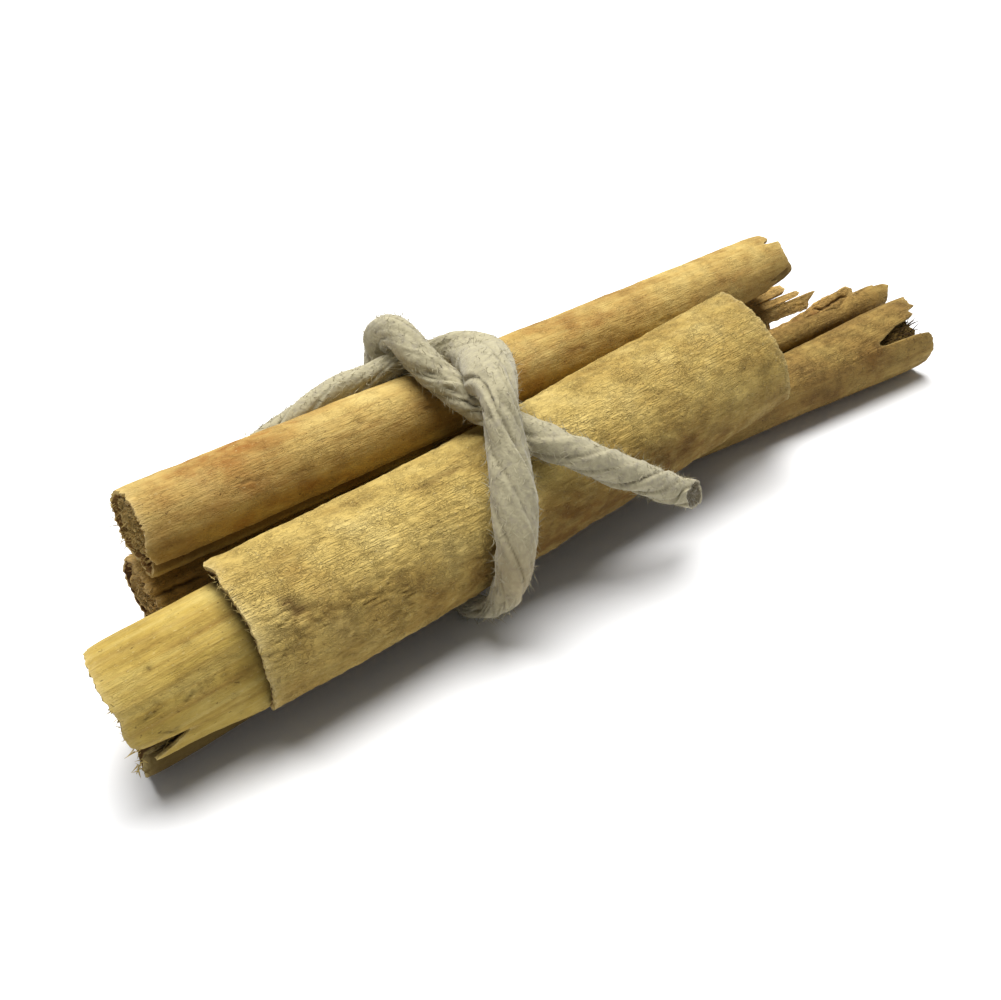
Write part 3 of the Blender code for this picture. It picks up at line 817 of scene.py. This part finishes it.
sleeve_start = rim_table(SLEEVE_FRONT, [
    (219, -1.2), (187, -1.4), (162, -1.5), (143, -1.2), (98, -1.0), (92, -0.8), (86, -0.5),
    (80, -0.4), (74, -0.5), (66, -0.6), (60, -0.3), (54, 0.2), (49, 0.8), (44, 1.8), (38, 3.2),
    (30, 4.2), (-60, 4.2)])
sleeve_end = lambda u: (SLEEVE["length"] - SLEEVE_DIP
                        * np.clip(1 - ((u / SLEEVE_ARC - 0.38) / 0.36) ** 2, 0, 1))
make_piece("sleeve_bark", [
    bark_sheet(SLEEVE, sleeve_section,
               spaced((0, 0.5 * SLEEVE_ARC, 92), (0.5 * SLEEVE_ARC, SLEEVE_ARC, 40)),
               spaced((0, 0.02, 9), (0.02, 0.98, 262), (0.98, 1, 9)), sleeve_start, sleeve_end,
               sleeve_finish, thickness=0.8, seed=3.0, crumbs=0.15, thin_ends=0.15, lip=0.35),
    end_fibres(SLEEVE, ((85, 215), (-1.2, -0.5)), 90, 35, (7.9, 8.6), (0.25, 0.8), 0.7)])

# %% [markdown]
# ## The inner quill at the left
# A smooth yellow roll slides out of the sleeve. Near the bottom of its rim the sheet is torn, and a dark
# gap opens, with the fibres in it painted dark as shade. The layer that hangs below its lip and the band
# just under the sleeve's rim are painted dark as painted shade. Soft streaks run along it, with a
# wrinkled olive patch lower down.

# %% Inner quill, left
LEFT = stick((-69.9, -3.55, 9.45), (8.8, -5.45, 13.1), (7.0, 7.0))
LEFT_LIP = 220
LEFT_ROLL = (LEFT_LIP, 2 * math.pi * 6.5)
LEFT_SAG = (2.3, 0.3)     # how far the second layer hangs out below: at the left end, inside
LEFT_FLARE = 0.85         # how far the outer edge stands out where it enters the sleeve


def sagging_spiral(turns, t):
    x, y = spiral(7.0, LEFT_LIP)(turns, t)
    l = t * LEFT["length"]
    hang = LEFT_SAG[0] + (LEFT_SAG[1] - LEFT_SAG[0]) * smooth_step(l, 15, 25)
    away = np.where(turns < 0.93, (turns - 0.93) / 0.15, (turns - 0.93) / 0.062)
    flare = LEFT_FLARE * smooth_step(l, 5, 15) * np.clip(1 - turns / 0.13, 0, 1.3) ** 2
    grow = 1 + (hang * np.clip(1 - away * away, 0, 1) + flare) / np.hypot(x, y)
    return x * grow, y * grow


def left_finish(u, a, l):
    patch = spots(u, l, LEFT_ROLL, [(150, 3.0, 1.4, 3.4, 0.9), (153, 8.4, 1.5, 3.4, 0.9),
                                    (162, 13.0, 1.6, 3.2, 0.8)])
    patch = np.clip(patch * (0.7 + 0.8 * noise(a / 1.2, l / 1.5)), 0, 1)
    wrinkles = patch * smooth_step(1 - np.abs(noise(a / 0.5, l / 0.9, 6.0)) * 2.6, 0, 1)
    split = cracks(u, l, LEFT_ROLL, [(156, 1.6, 155, 3.4), (176, 3.0, 180, 4.8),
                                     (160, 6.0, 159, 7.4)], 0.13)
    pit = spots(u, l, LEFT_ROLL, [(122, 4.6, 0.22, 0.25, 0.9), (118, 9.0, 0.2, 0.3, 0.5)])
    height = (0.12 * noise(a / 2.4, l / 14) + 0.07 * noise(a / 0.9, l / 16, 3.0)
              + 0.02 * layered(a / 0.6, l / 2.0, 8.0) - 0.12 * wrinkles - 0.15 * split - 0.1 * pit)
    olive = spots(u, l, LEFT_ROLL, [(104, 8.0, 1.1, 9, 0.45), (94, 3.0, 0.8, 4, 0.3)])
    # The layer hanging below the lip and the band just under the sleeve's rim are painted dark: painted
    # shade. Wrinkles, cracks and pits are painted dark as shade in them.
    painted_shade_beneath = smooth_step(u, 0.80, 0.84) + 0.8 * smooth_step(l, 13.9, 15.2) * (u < 0.8)
    return (height, np.clip(0.25 * wrinkles + 0.7 * split + pit + painted_shade_beneath, 0, 1),
            np.clip(0.5 * patch + olive, 0, 1))


left_start = rim_table(LEFT_LIP, [
    (220, 2.6), (214, 1.9), (210, 1.7), (207, 2.2), (204, 3.0), (200, 3.9), (196, 4.6),
    (191.5, 5.8), (189.5, 5.6), (188, 3.9), (186, 3.1), (184.5, 1.7), (182.5, 0.8), (180.5, 0.3),
    (172, -0.4), (161, -0.4), (150, -0.1), (140, -0.3), (120, -0.5), (92, -0.1), (71, 0.4),
    (48, 1.6), (12, 3.0), (-38, 3.0), (-60, 2.6), (-82, 1.7), (-100, 1.0), (-114, 0.6),
    (-130, 0.6), (-138, 0.9), (-144, 2.2), (-150, 4.0), (-160, 6.0), (-172, 7.0), (-190, 4.5),
    (-230, 3.2), (-456, 3.2)])
make_piece("left_inner_quill_bark", [
    bark_sheet(LEFT, sagging_spiral,
               spaced((0, 0.46, 92), (0.46, 0.75, 20), (0.75, 1.06, 48), (1.06, 1.9, 26)),
               spaced((0, 0.03, 12), (0.03, 0.22, 56), (0.22, 1, 50)), left_start,
               lambda u: LEFT["length"] + 0.0 * u, left_finish, seed=4.0, crumbs=0.17,
               thin_ends=0.5, lip=0.2),
    flakes(LEFT, 0, 5.2, 0.8, 3.0, 9.0, 0.7, back=3.0, rough=0.8),
    end_fibres(LEFT, ((120, 226), (-0.3, 0.6)), 60, 36, (6.2, 6.9), (0.3, 0.9), 0.6,
               width=(0.08, 0.22)),
    # The fibres in the torn gap are painted dark: painted shade in the gap.
    end_fibres(LEFT, ((184, 210), (2.2, 5.0)), 60, 37, (5.0, 6.5), (0.5, 1.6), 0.5, dirt_and_shade=0.8)])

# %% [markdown]
# ## The inner quill at the right
# Both edges of one sheet roll in towards each other: a thick roll in front, torn open near its
# end with dark fibres in the hole, and a thin one behind it with a zigzag crack.

# %% Inner quill, right
RIGHT = stick((15.3, -4.25, 6.65), (68.8, -10.75, 5.1))
# Both rolls at two places, as mm along, radius, and centre sideways and up from the stick's line.
FRONT_ROLL = ((24.0, 5.09, -0.07, -0.07), (50.0, 5.95, 0.62, 0.68))
BACK_ROLL = ((24.0, 2.45, 7.1, 2.3), (49.0, 2.75, 9.3, 2.3))
BRIDGE = 0.12           # the turns between the rolls, a straight stretch of the sheet
LOWEST = 270            # the angle at which the front roll starts


def roll_at(ends, along):
    """Radius and centre of a roll at a place along the stick."""
    share = (np.clip(along, 12, 56) - ends[0][0]) / (ends[1][0] - ends[0][0])
    return [a + (b - a) * share for a, b in zip(ends[0][1:], ends[1][1:])]


def double_roll(u, t):
    """u counts turns: below zero in the back roll, above zero in the front roll."""
    along = t * RIGHT["length"]
    radius, across, up = roll_at(FRONT_ROLL, along)
    turns = np.maximum(u, 0)
    angle = np.radians(LOWEST) - 2 * np.pi * turns
    reach = radius - BARK / 2 - PITCH * np.where(turns < 1, turns ** 2, turns)
    front_x, front_y = across + reach * np.cos(angle), up + reach * np.sin(angle)
    foot = up - (radius - BARK / 2)
    small, back_across, back_up = roll_at(BACK_ROLL, along)
    turns = np.maximum(-u - BRIDGE, 0)
    angle = np.radians(LOWEST) + 2 * np.pi * turns
    curled = small - BARK / 2 - 0.9 * PITCH * turns
    back_x, back_y = back_across + curled * np.cos(angle), back_up + curled * np.sin(angle)
    back_foot = back_up - (small - BARK / 2)
    share = np.clip(u / BRIDGE + 1, 0, 1)
    line_x = back_across + (across - back_across) * share
    line_y = back_foot + (foot - back_foot) * share
    return (np.where(u >= 0, front_x, np.where(u > -BRIDGE, line_x, back_x)),
            np.where(u >= 0, front_y, np.where(u > -BRIDGE, line_y, back_y)))


front_end = table([
    (0.0, 50.0), (0.15, 50.2), (0.25, 49.5), (0.305, 48.9), (0.322, 48.2), (0.333, 46.0),
    (0.344, 38.6), (0.355, 37.6), (0.367, 37.7), (0.389, 40.0), (0.411, 42.6), (0.417, 46.2),
    (0.428, 47.1), (0.455, 46.8), (0.469, 48.9), (0.49, 48.6), (0.53, 49.5), (0.60, 51.5),
    (0.75, 51.0), (1.0, 49.4), (1.1, 48.4), (1.2, 47.2), (1.30, 46.0), (1.34, 47.4), (1.40, 46.2),
    (1.5, 47.4), (1.7, 47.0)])
back_end = table([(-1.2, 52.6), (-0.9, 53.2), (-0.74, 54.0), (-0.66, 54.8), (-0.60, 54.2),
                  (-0.56, 52.4), (-0.50, 53.2), (-0.3, 52.4), (0.0, 50.0)])
front_at = lambda angle: turn_at(angle, LOWEST)
right_finish = brown_finish(
    (None, 2 * math.pi * 4.8),
    [(-0.56, 36.0, -0.62, 39.0), (-0.62, 39.0, -0.66, 41.5), (-0.66, 41.5, -0.58, 44.5),
     (-0.58, 44.5, -0.60, 47.0), (-0.60, 47.0, -0.55, 50.6),
     (front_at(215), 20.0, front_at(219), 32.0)],
    [(front_at(150), 35.5, 2.6, 2.6, 0.9), (front_at(200), 25.0, 5.0, 12.0, 0.5),
     (front_at(150), 14.0, 3.0, 6.0, 0.35), (-0.6, 25.0, 3.0, 14.0, 0.15)], 40.0)
make_piece("right_inner_quill_bark", [
    bark_sheet(RIGHT, double_roll,
               spaced((-1.2, -0.9, 8), (-0.9, -0.4, 40), (-0.4, -0.12, 10), (-0.12, 0.0, 5),
                      (0.0, 0.14, 14), (0.14, 0.62, 92), (0.62, 1.0, 18), (1.0, 1.7, 24)),
               spaced((0, 0.16, 16), (0.16, 0.72, 104), (0.72, 1.0, 74)), lambda u: 0.0 * u,
               lambda u: np.where(u < 0, back_end(u), front_end(u)), right_finish, seed=5.0,
               crumbs=0.2, thin_ends=0.45),
    flakes(RIGHT, 1, 3.6, 0.8, 3.0, 10.0, 0.9, back=7.0, rough=1.4, centre=(0.3, 0.4),
           shade=1.0),
    end_fibres(RIGHT, ((105, 158), (38, 45)), 70, 38, (3.6, 5.2), (1.0, 3.2), 0.35, dirt_and_shade=1.0,
               width=(0.12, 0.28)),
    end_fibres(RIGHT, ((116, 148), (43.5, 46.0)), 9, 39, (4.6, 5.5), (1.6, 3.2), 0.2, dirt_and_shade=1.0,
               width=(0.18, 0.34))])

# %% [markdown]
# ## The loose strip
# A narrow curved strip of bark leans on the back roll, cracked along its length.

# %% Loose strip
STRIP = stick((36.3, -3.75, 10.2), (62.8, -4.15, 7.4))
# Sideways and up from the stick's line: the strip's foot, and its top at each mm along.
STRIP_FOOT = (2.9, -0.8)
STRIP_TOP_ACROSS = 5.0
strip_top = table([(0, 0.0), (11, 0.8), (14, 1.5), (17, 2.3), (20, 3.0), (23.5, 3.6), (28, 3.6)])


def strip_section(u, t):
    """u goes from the foot, 0, to the top edge, 1."""
    belly = 0.35 * np.sin(np.pi * u)
    top = strip_top(t * STRIP["length"])
    return (STRIP_FOOT[0] + (STRIP_TOP_ACROSS - STRIP_FOOT[0]) * u - belly,
            STRIP_FOOT[1] + (top - STRIP_FOOT[1]) * u + 0.4 * belly)


strip_end = table([(0.0, 28.4), (0.5, 28.0), (0.70, 27.0), (0.78, 26.6), (0.90, 26.4), (1.0, 25.6)])
strip_finish = brown_finish((None, 5.0), [
    (0.64, 8.0, 0.56, 13.0), (0.70, 13.0, 0.60, 16.5), (0.82, 16.5, 0.68, 18.5),
    (0.66, 18.5, 0.75, 25.0)], [(0.7, 12, 3, 8, 0.5)], 60.0)
make_piece("loose_strip_bark", [
    bark_sheet(STRIP, strip_section, spaced((0, 1, 40)), spaced((0, 1, 100)), lambda u: 0.0 * u,
               strip_end, strip_finish, seed=6.0, crumbs=0.22, thin_ends=0.4)])

# %% [markdown]
# ## Helpers for shader nodes
# One small function adds a node, sets it up and links its inputs: a socket is linked, and any
# other value is set. A finish starts as an empty material that reads the marks kept on the mesh,
# and its colours are then laid over each other like thin coats of paint.

# %% Shader helpers
FACTOR, COLOUR_A, COLOUR_B, MIXED = 0, 6, 7, 2   # sockets of a colour Mix node


def add(tree, kind, inputs, stops=(), **settings):
    """Adds a node. Three stops are the colours at the start, middle and end of a ramp."""
    node = tree.nodes.new("ShaderNode" + kind)
    for key, value in settings.items():
        setattr(node, key, value)
    for key, value in inputs.items():
        if isinstance(value, bpy.types.NodeSocket):
            tree.links.new(value, node.inputs[key])
        else:
            node.inputs[key].default_value = value
    if stops:
        node.color_ramp.elements.new(0.5)
        for stop, colour in zip(node.color_ramp.elements, stops):
            stop.color = colour
    return node


def new_finish(name):
    """An empty material, its tree, and the marks at each point: wear, dirt with painted shade, and stain.
    """
    material = bpy.data.materials.new(name)
    material.use_nodes = True
    tree = material.node_tree
    tree.nodes.clear()
    marks = add(tree, "Attribute", {}, attribute_name="marks").outputs["Vector"]
    return material, tree, add(tree, "SeparateXYZ", {0: marks}).outputs


def paint(tree, colour, layers):
    """Lays colours over each other. A layer is where it shows, how strongly, and its hex."""
    for where, strength, top in layers:
        share = add(tree, "Math", {0: where, 1: strength}, operation="MULTIPLY", use_clamp=True)
        colour = add(tree, "Mix", {FACTOR: share.outputs[0], COLOUR_A: colour,
                                   COLOUR_B: linear(top)}, data_type="RGBA").outputs[MIXED]
    return colour


# %% [markdown]
# ## Dry bark
# Raw inner bark, dried and never coated, is dull and fibrous: an IOR of 1.5, a roughness of 0.85 and
# little shine. Its colour goes from large to small: clouds 7 mm across, streaks half a millimetre wide
# and 16 mm long, mottling, creases, pores, and the marks kept on the mesh. Creases, and the cracks and
# hollows in the marks, are painted in the dark pore colour as painted shade. Fibres 0.1 mm wide are drawn
# 0.2 mm wide to show. A crease is where a noise crosses its middle value, which gives thin, wandering
# lines. A fresh rim is paler, and the inside of a roll is browner.

# %% Bark material
def bark(name, clouds, streak, pore_and_shade, rust, rim, inside, *, streaks, mottling, creases, crease_size,
         relief, streak_size=(0.6, 16.0)):
    """Colours are hex and sizes are mm across and along the grain. The rest are strengths."""
    material, tree, (wear, dirt_and_shade, stain) = new_finish(name)
    grain = add(tree, "Attribute", {}, attribute_name="grain").outputs["Vector"]
    depth = add(tree, "SeparateXYZ", {0: grain}).outputs[2]

    def pattern(across_mm, along_mm, detail, low, high, shift=0.0, twist=0.0):
        """Noise stretched along the grain, cut to the part between low and high."""
        scaled = add(tree, "VectorMath", {0: grain, 1: (1 / across_mm, 1 / along_mm, 1.0),
                                          2: (shift, shift, shift)}, operation="MULTIPLY_ADD")
        value = add(tree, "TexNoise", {"Vector": scaled.outputs[0], "Scale": 1.0,
                                       "Detail": detail, "Roughness": 0.6, "Distortion": twist})
        return add(tree, "MapRange", {"Value": value.outputs["Fac"], "From Min": low,
                                      "From Max": high}).outputs["Result"]

    def lines(across_mm, along_mm, width, shift, mask):
        """Thin wandering lines, 1 in the middle of each, where a noise is half way."""
        value = pattern(across_mm, along_mm, 3.0, 0.0, 1.0, shift, 0.3)
        for operation, inputs, clamp in (("SUBTRACT", {1: 0.5}, False), ("ABSOLUTE", {}, False),
                                         ("MULTIPLY_ADD", {1: -1 / width, 2: 1.0}, True),
                                         ("MULTIPLY", {1: mask}, True)):
            value = add(tree, "Math", {0: value, **inputs}, operation=operation,
                        use_clamp=clamp).outputs[0]
        return value

    colour = add(tree, "ValToRGB", {"Fac": pattern(7.0, 10.0, 3.0, 0.30, 0.70)},
                 [linear(cloud) for cloud in clouds]).outputs["Color"]
    across, along = streak_size
    colour = paint(tree, colour, [
        (pattern(across, along, 4.0, 0.46, 0.72, 3.0), streaks, streak),
        (pattern(across * 1.3, along * 1.2, 3.0, 0.50, 0.72, 13.0), streaks, clouds[2])])
    mottle = add(tree, "ValToRGB", {"Fac": pattern(0.8, 1.3, 5.0, 0.30, 0.70, 11.0)},
                 [(grey, grey, grey, 1.0) for grey in (1 - 0.45 * mottling, 0.96, 1.0)])
    colour = add(tree, "Mix", {FACTOR: 1.0, COLOUR_A: colour, COLOUR_B: mottle.outputs["Color"]},
                 data_type="RGBA", blend_type="MULTIPLY").outputs[MIXED]
    across, along = crease_size
    creased = add(tree, "Math", {
        0: lines(across, along, 0.05, 71.0, pattern(3.0, 4.0, 2.0, 0.38, 0.62, 81.0)),
        1: lines(across * 0.45, along * 0.45, 0.06, 91.0,
                 pattern(2.0, 2.6, 2.0, 0.42, 0.62, 97.0))}, operation="MAXIMUM").outputs[0]
    worn = add(tree, "Math", {0: wear, 1: 0.6}, operation="MULTIPLY").outputs[0]
    deep = add(tree, "MapRange", {"Value": depth, "From Min": 0.45, "From Max": 0.75})
    # Crease lines and the dirt mark are laid on in the pore colour: partly dirt and partly painted shade
    # in creases, cracks and hollows.
    colour = paint(tree, colour, [
        (stain, pattern(2.0, 3.5, 4.0, 0.25, 0.60, 23.0), rust),
        (creased, 0.55 * creases, pore_and_shade),
        (pattern(0.5, 0.8, 2.0, 0.66, 0.76, 31.0), 0.75, pore_and_shade),
        (pattern(0.35, 0.5, 2.0, 0.62, 0.74, 37.0), 0.45, rim),
        (dirt_and_shade, 0.85, pore_and_shade),
        (worn, pattern(0.5, 0.6, 3.0, 0.30, 0.55, 41.0), rim),
        (deep.outputs["Result"], 1.0, inside)])

    fibres = pattern(0.2, 3.0, 3.0, 0.3, 0.7, 51.0)
    scales = pattern(0.55, 0.9, 5.0, 0.3, 0.7, 61.0)
    height = fibres
    for amount, factor in ((scales, 1.2), (creased, -2.2 * creases)):
        height = add(tree, "Math", {0: amount, 1: factor, 2: height},
                     operation="MULTIPLY_ADD").outputs[0]
    bump = add(tree, "Bump", {"Height": height, "Strength": 0.8, "Distance": 0.11 * MM * relief})
    shader = add(tree, "BsdfPrincipled", {
        "Base Color": colour, "Roughness": 0.85, "IOR": 1.5, "Specular IOR Level": 0.12,
        "Metallic": 0.0, "Normal": bump.outputs["Normal"]})
    add(tree, "OutputMaterial", {"Surface": shader.outputs[0]})
    print(f"{name}: {len(tree.nodes)} nodes")
    return material


golden_bark = bark("raw_golden_cinnamon_bark", ("#98763E", "#BA9D5A", "#CAB370"), "#8E6936",
                   "#54391A", "#8F5E2A", "#C6AE78", "#84653A", streaks=0.4, mottling=0.35,
                   creases=0.4, crease_size=(0.7, 2.0), relief=0.65)
yellow_bark = bark("smooth_yellow_cinnamon_bark", ("#9E843E", "#B49A4E", "#C2AC64"), "#8A6B34",
                   "#3A2A14", "#84682F", "#C4B078", "#5C4424", streaks=0.8,
                   streak_size=(0.9, 30.0), mottling=0.2, creases=0.3, crease_size=(0.5, 3.0),
                   relief=0.45)
# A lighter copy of the fibrous tan bark for the lower quill and the strip, which lie in shade: partly
# their own brown, partly painted fill light.
brown_bark = bark("fibrous_brown_cinnamon_bark_with_painted_fill", ("#A8864C", "#C6A25E", "#D6B674"), "#7E5C32",
                  "#3C2812", "#84522A", "#C4A874", "#66482A", streaks=0.6, mottling=0.5,
                  creases=0.6, crease_size=(0.6, 1.8), relief=1.2)
tan_bark = bark("fibrous_tan_cinnamon_bark", ("#7C6136", "#977A42", "#AB9152"), "#6E5428",
                "#2E1E0E", "#715024", "#B09860", "#4E3820", streaks=0.5, mottling=0.45,
                creases=0.6, crease_size=(0.6, 1.6), relief=1.2)
pale_bark = bark("leathery_pale_cinnamon_bark", ("#AE914E", "#C7AC62", "#D8C078"), "#A0854A",
                 "#5C4322", "#8A672F", "#CDBA86", "#5A4226", streaks=0.25, mottling=0.3,
                 creases=0.5, crease_size=(0.8, 1.3), relief=1.8)

# %% [markdown]
# ## Felted linen cord
# Unbleached linen and cotton fibre, felted and twisted: matt, with a little sheen from its fuzz.
# It is mottled grey and cream, with painted shade in its creases, darker on its cut ends, and a little
# brown where it has rubbed on the bark.

# %% Cord material
def felted_cord():
    material, tree, (wear, dirt_and_shade, stain) = new_finish("felted_linen_cord")
    place = add(tree, "TexCoord", {}).outputs["Object"]

    def speckle(width_mm, detail, low, high):
        """Spots of one width, cut to the part of a noise between low and high."""
        value = add(tree, "TexNoise", {"Vector": place, "Scale": 1 / (width_mm * MM),
                                       "Detail": detail})
        return add(tree, "MapRange", {"Value": value.outputs["Fac"], "From Min": low,
                                      "From Max": high}).outputs["Result"]

    colour = add(tree, "ValToRGB", {"Fac": speckle(0.7, 5.0, 0.3, 0.7)},
                 [linear(felt) for felt in ("#98907A", "#A39B7E", "#ADA587")]).outputs["Color"]
    # On the cord the dirt mark is painted shade in the steps of its wraps and in its pleats.
    colour = paint(tree, colour, [
        (speckle(0.25, 2.0, 0.62, 0.78), 0.35, "#857E62"), (dirt_and_shade, 0.7, "#665E45"),
        (stain, 0.35, "#9C8458"), (wear, 0.85, "#50462F")])
    bump = add(tree, "Bump", {"Height": speckle(0.35, 5.0, 0.2, 0.8), "Strength": 0.5,
                              "Distance": 0.12 * MM})
    shader = add(tree, "BsdfPrincipled", {
        "Base Color": colour, "Roughness": 0.95, "IOR": 1.45, "Specular IOR Level": 0.2,
        "Sheen Weight": 0.25, "Sheen Roughness": 0.5, "Normal": bump.outputs["Normal"]})
    add(tree, "OutputMaterial", {"Surface": shader.outputs[0]})
    print("felted_linen_cord:", len(tree.nodes), "nodes")
    return material


linen_cord = felted_cord()

# %% [markdown]
# ## Dressing the model
# Each piece gets its finish, rides on the model's one body and stands for its own solid.

# %% Dress
DRESSED = [
    ("tied_linen_cord", "tie_cord", "linen_cord", linen_cord),
    ("upper_quill_bark", "upper_back_quill", "golden_bark", golden_bark),
    ("lower_quill_bark", "lower_back_quill", "brown_bark", brown_bark),
    ("sleeve_bark", "outer_sleeve", "pale_bark", pale_bark),
    ("left_inner_quill_bark", "inner_left_quill", "golden_bark", yellow_bark),
    ("right_inner_quill_bark", "inner_right_quill", "brown_bark", tan_bark),
    ("loose_strip_bark", "loose_bark_strip", "brown_bark", brown_bark)]
for name, node, slot, material in DRESSED:
    piece = shown[name]
    piece.data.materials.append(material)
    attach(piece, "root")
    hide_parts(node)
print(len(DRESSED), "pieces dressed")

# %% [markdown]
# ## Table and light
# The bundle lies on a plain white table. One large soft lamp hangs high behind it, a little to
# the camera's left, so shadows fall towards the front; the pale surroundings fill them in.

# %% Table and light
FLOOR = 3.0          # m across
LAMP_PLACE = Vector((55, 145, 600))      # mm
LAMP_SIZE = 600      # mm across
LAMP_POWER = 8.6     # watts

corners = [(x * FLOOR / 2, y * FLOOR / 2, 0) for x, y in ((-1, -1), (1, -1), (1, 1), (-1, 1))]
floor_mesh = bpy.data.meshes.new("floor")
floor_mesh.from_pydata(corners, [], [(0, 1, 2, 3)])
floor = bpy.data.objects.new("floor", floor_mesh)
bpy.context.scene.collection.objects.link(floor)
white = bpy.data.materials.new("white_laminate")
white.use_nodes = True
laminate = white.node_tree.nodes["Principled BSDF"].inputs
laminate["Base Color"].default_value = linear("#EFEFEF")
laminate["Roughness"].default_value = 0.6
laminate["Specular IOR Level"].default_value = 0.2
floor_mesh.materials.append(white)

world = bpy.data.worlds.new("studio")
world.use_nodes = True
surroundings = world.node_tree.nodes["Background"].inputs
surroundings["Color"].default_value = linear("#FFFFFF")
surroundings["Strength"].default_value = 0.18
bpy.context.scene.world = world

lamp_data = bpy.data.lights.new("window", "AREA")
lamp_data.shape = "DISK"
lamp_data.size = LAMP_SIZE * MM
lamp_data.energy = LAMP_POWER
lamp = bpy.data.objects.new("window", lamp_data)
lamp.location = LAMP_PLACE * MM
lamp.rotation_euler = (-LAMP_PLACE).to_track_quat("-Z", "Y").to_euler()
bpy.context.scene.collection.objects.link(lamp)
print("floor", FLOOR, "m across, lamp", LAMP_SIZE, "mm across")
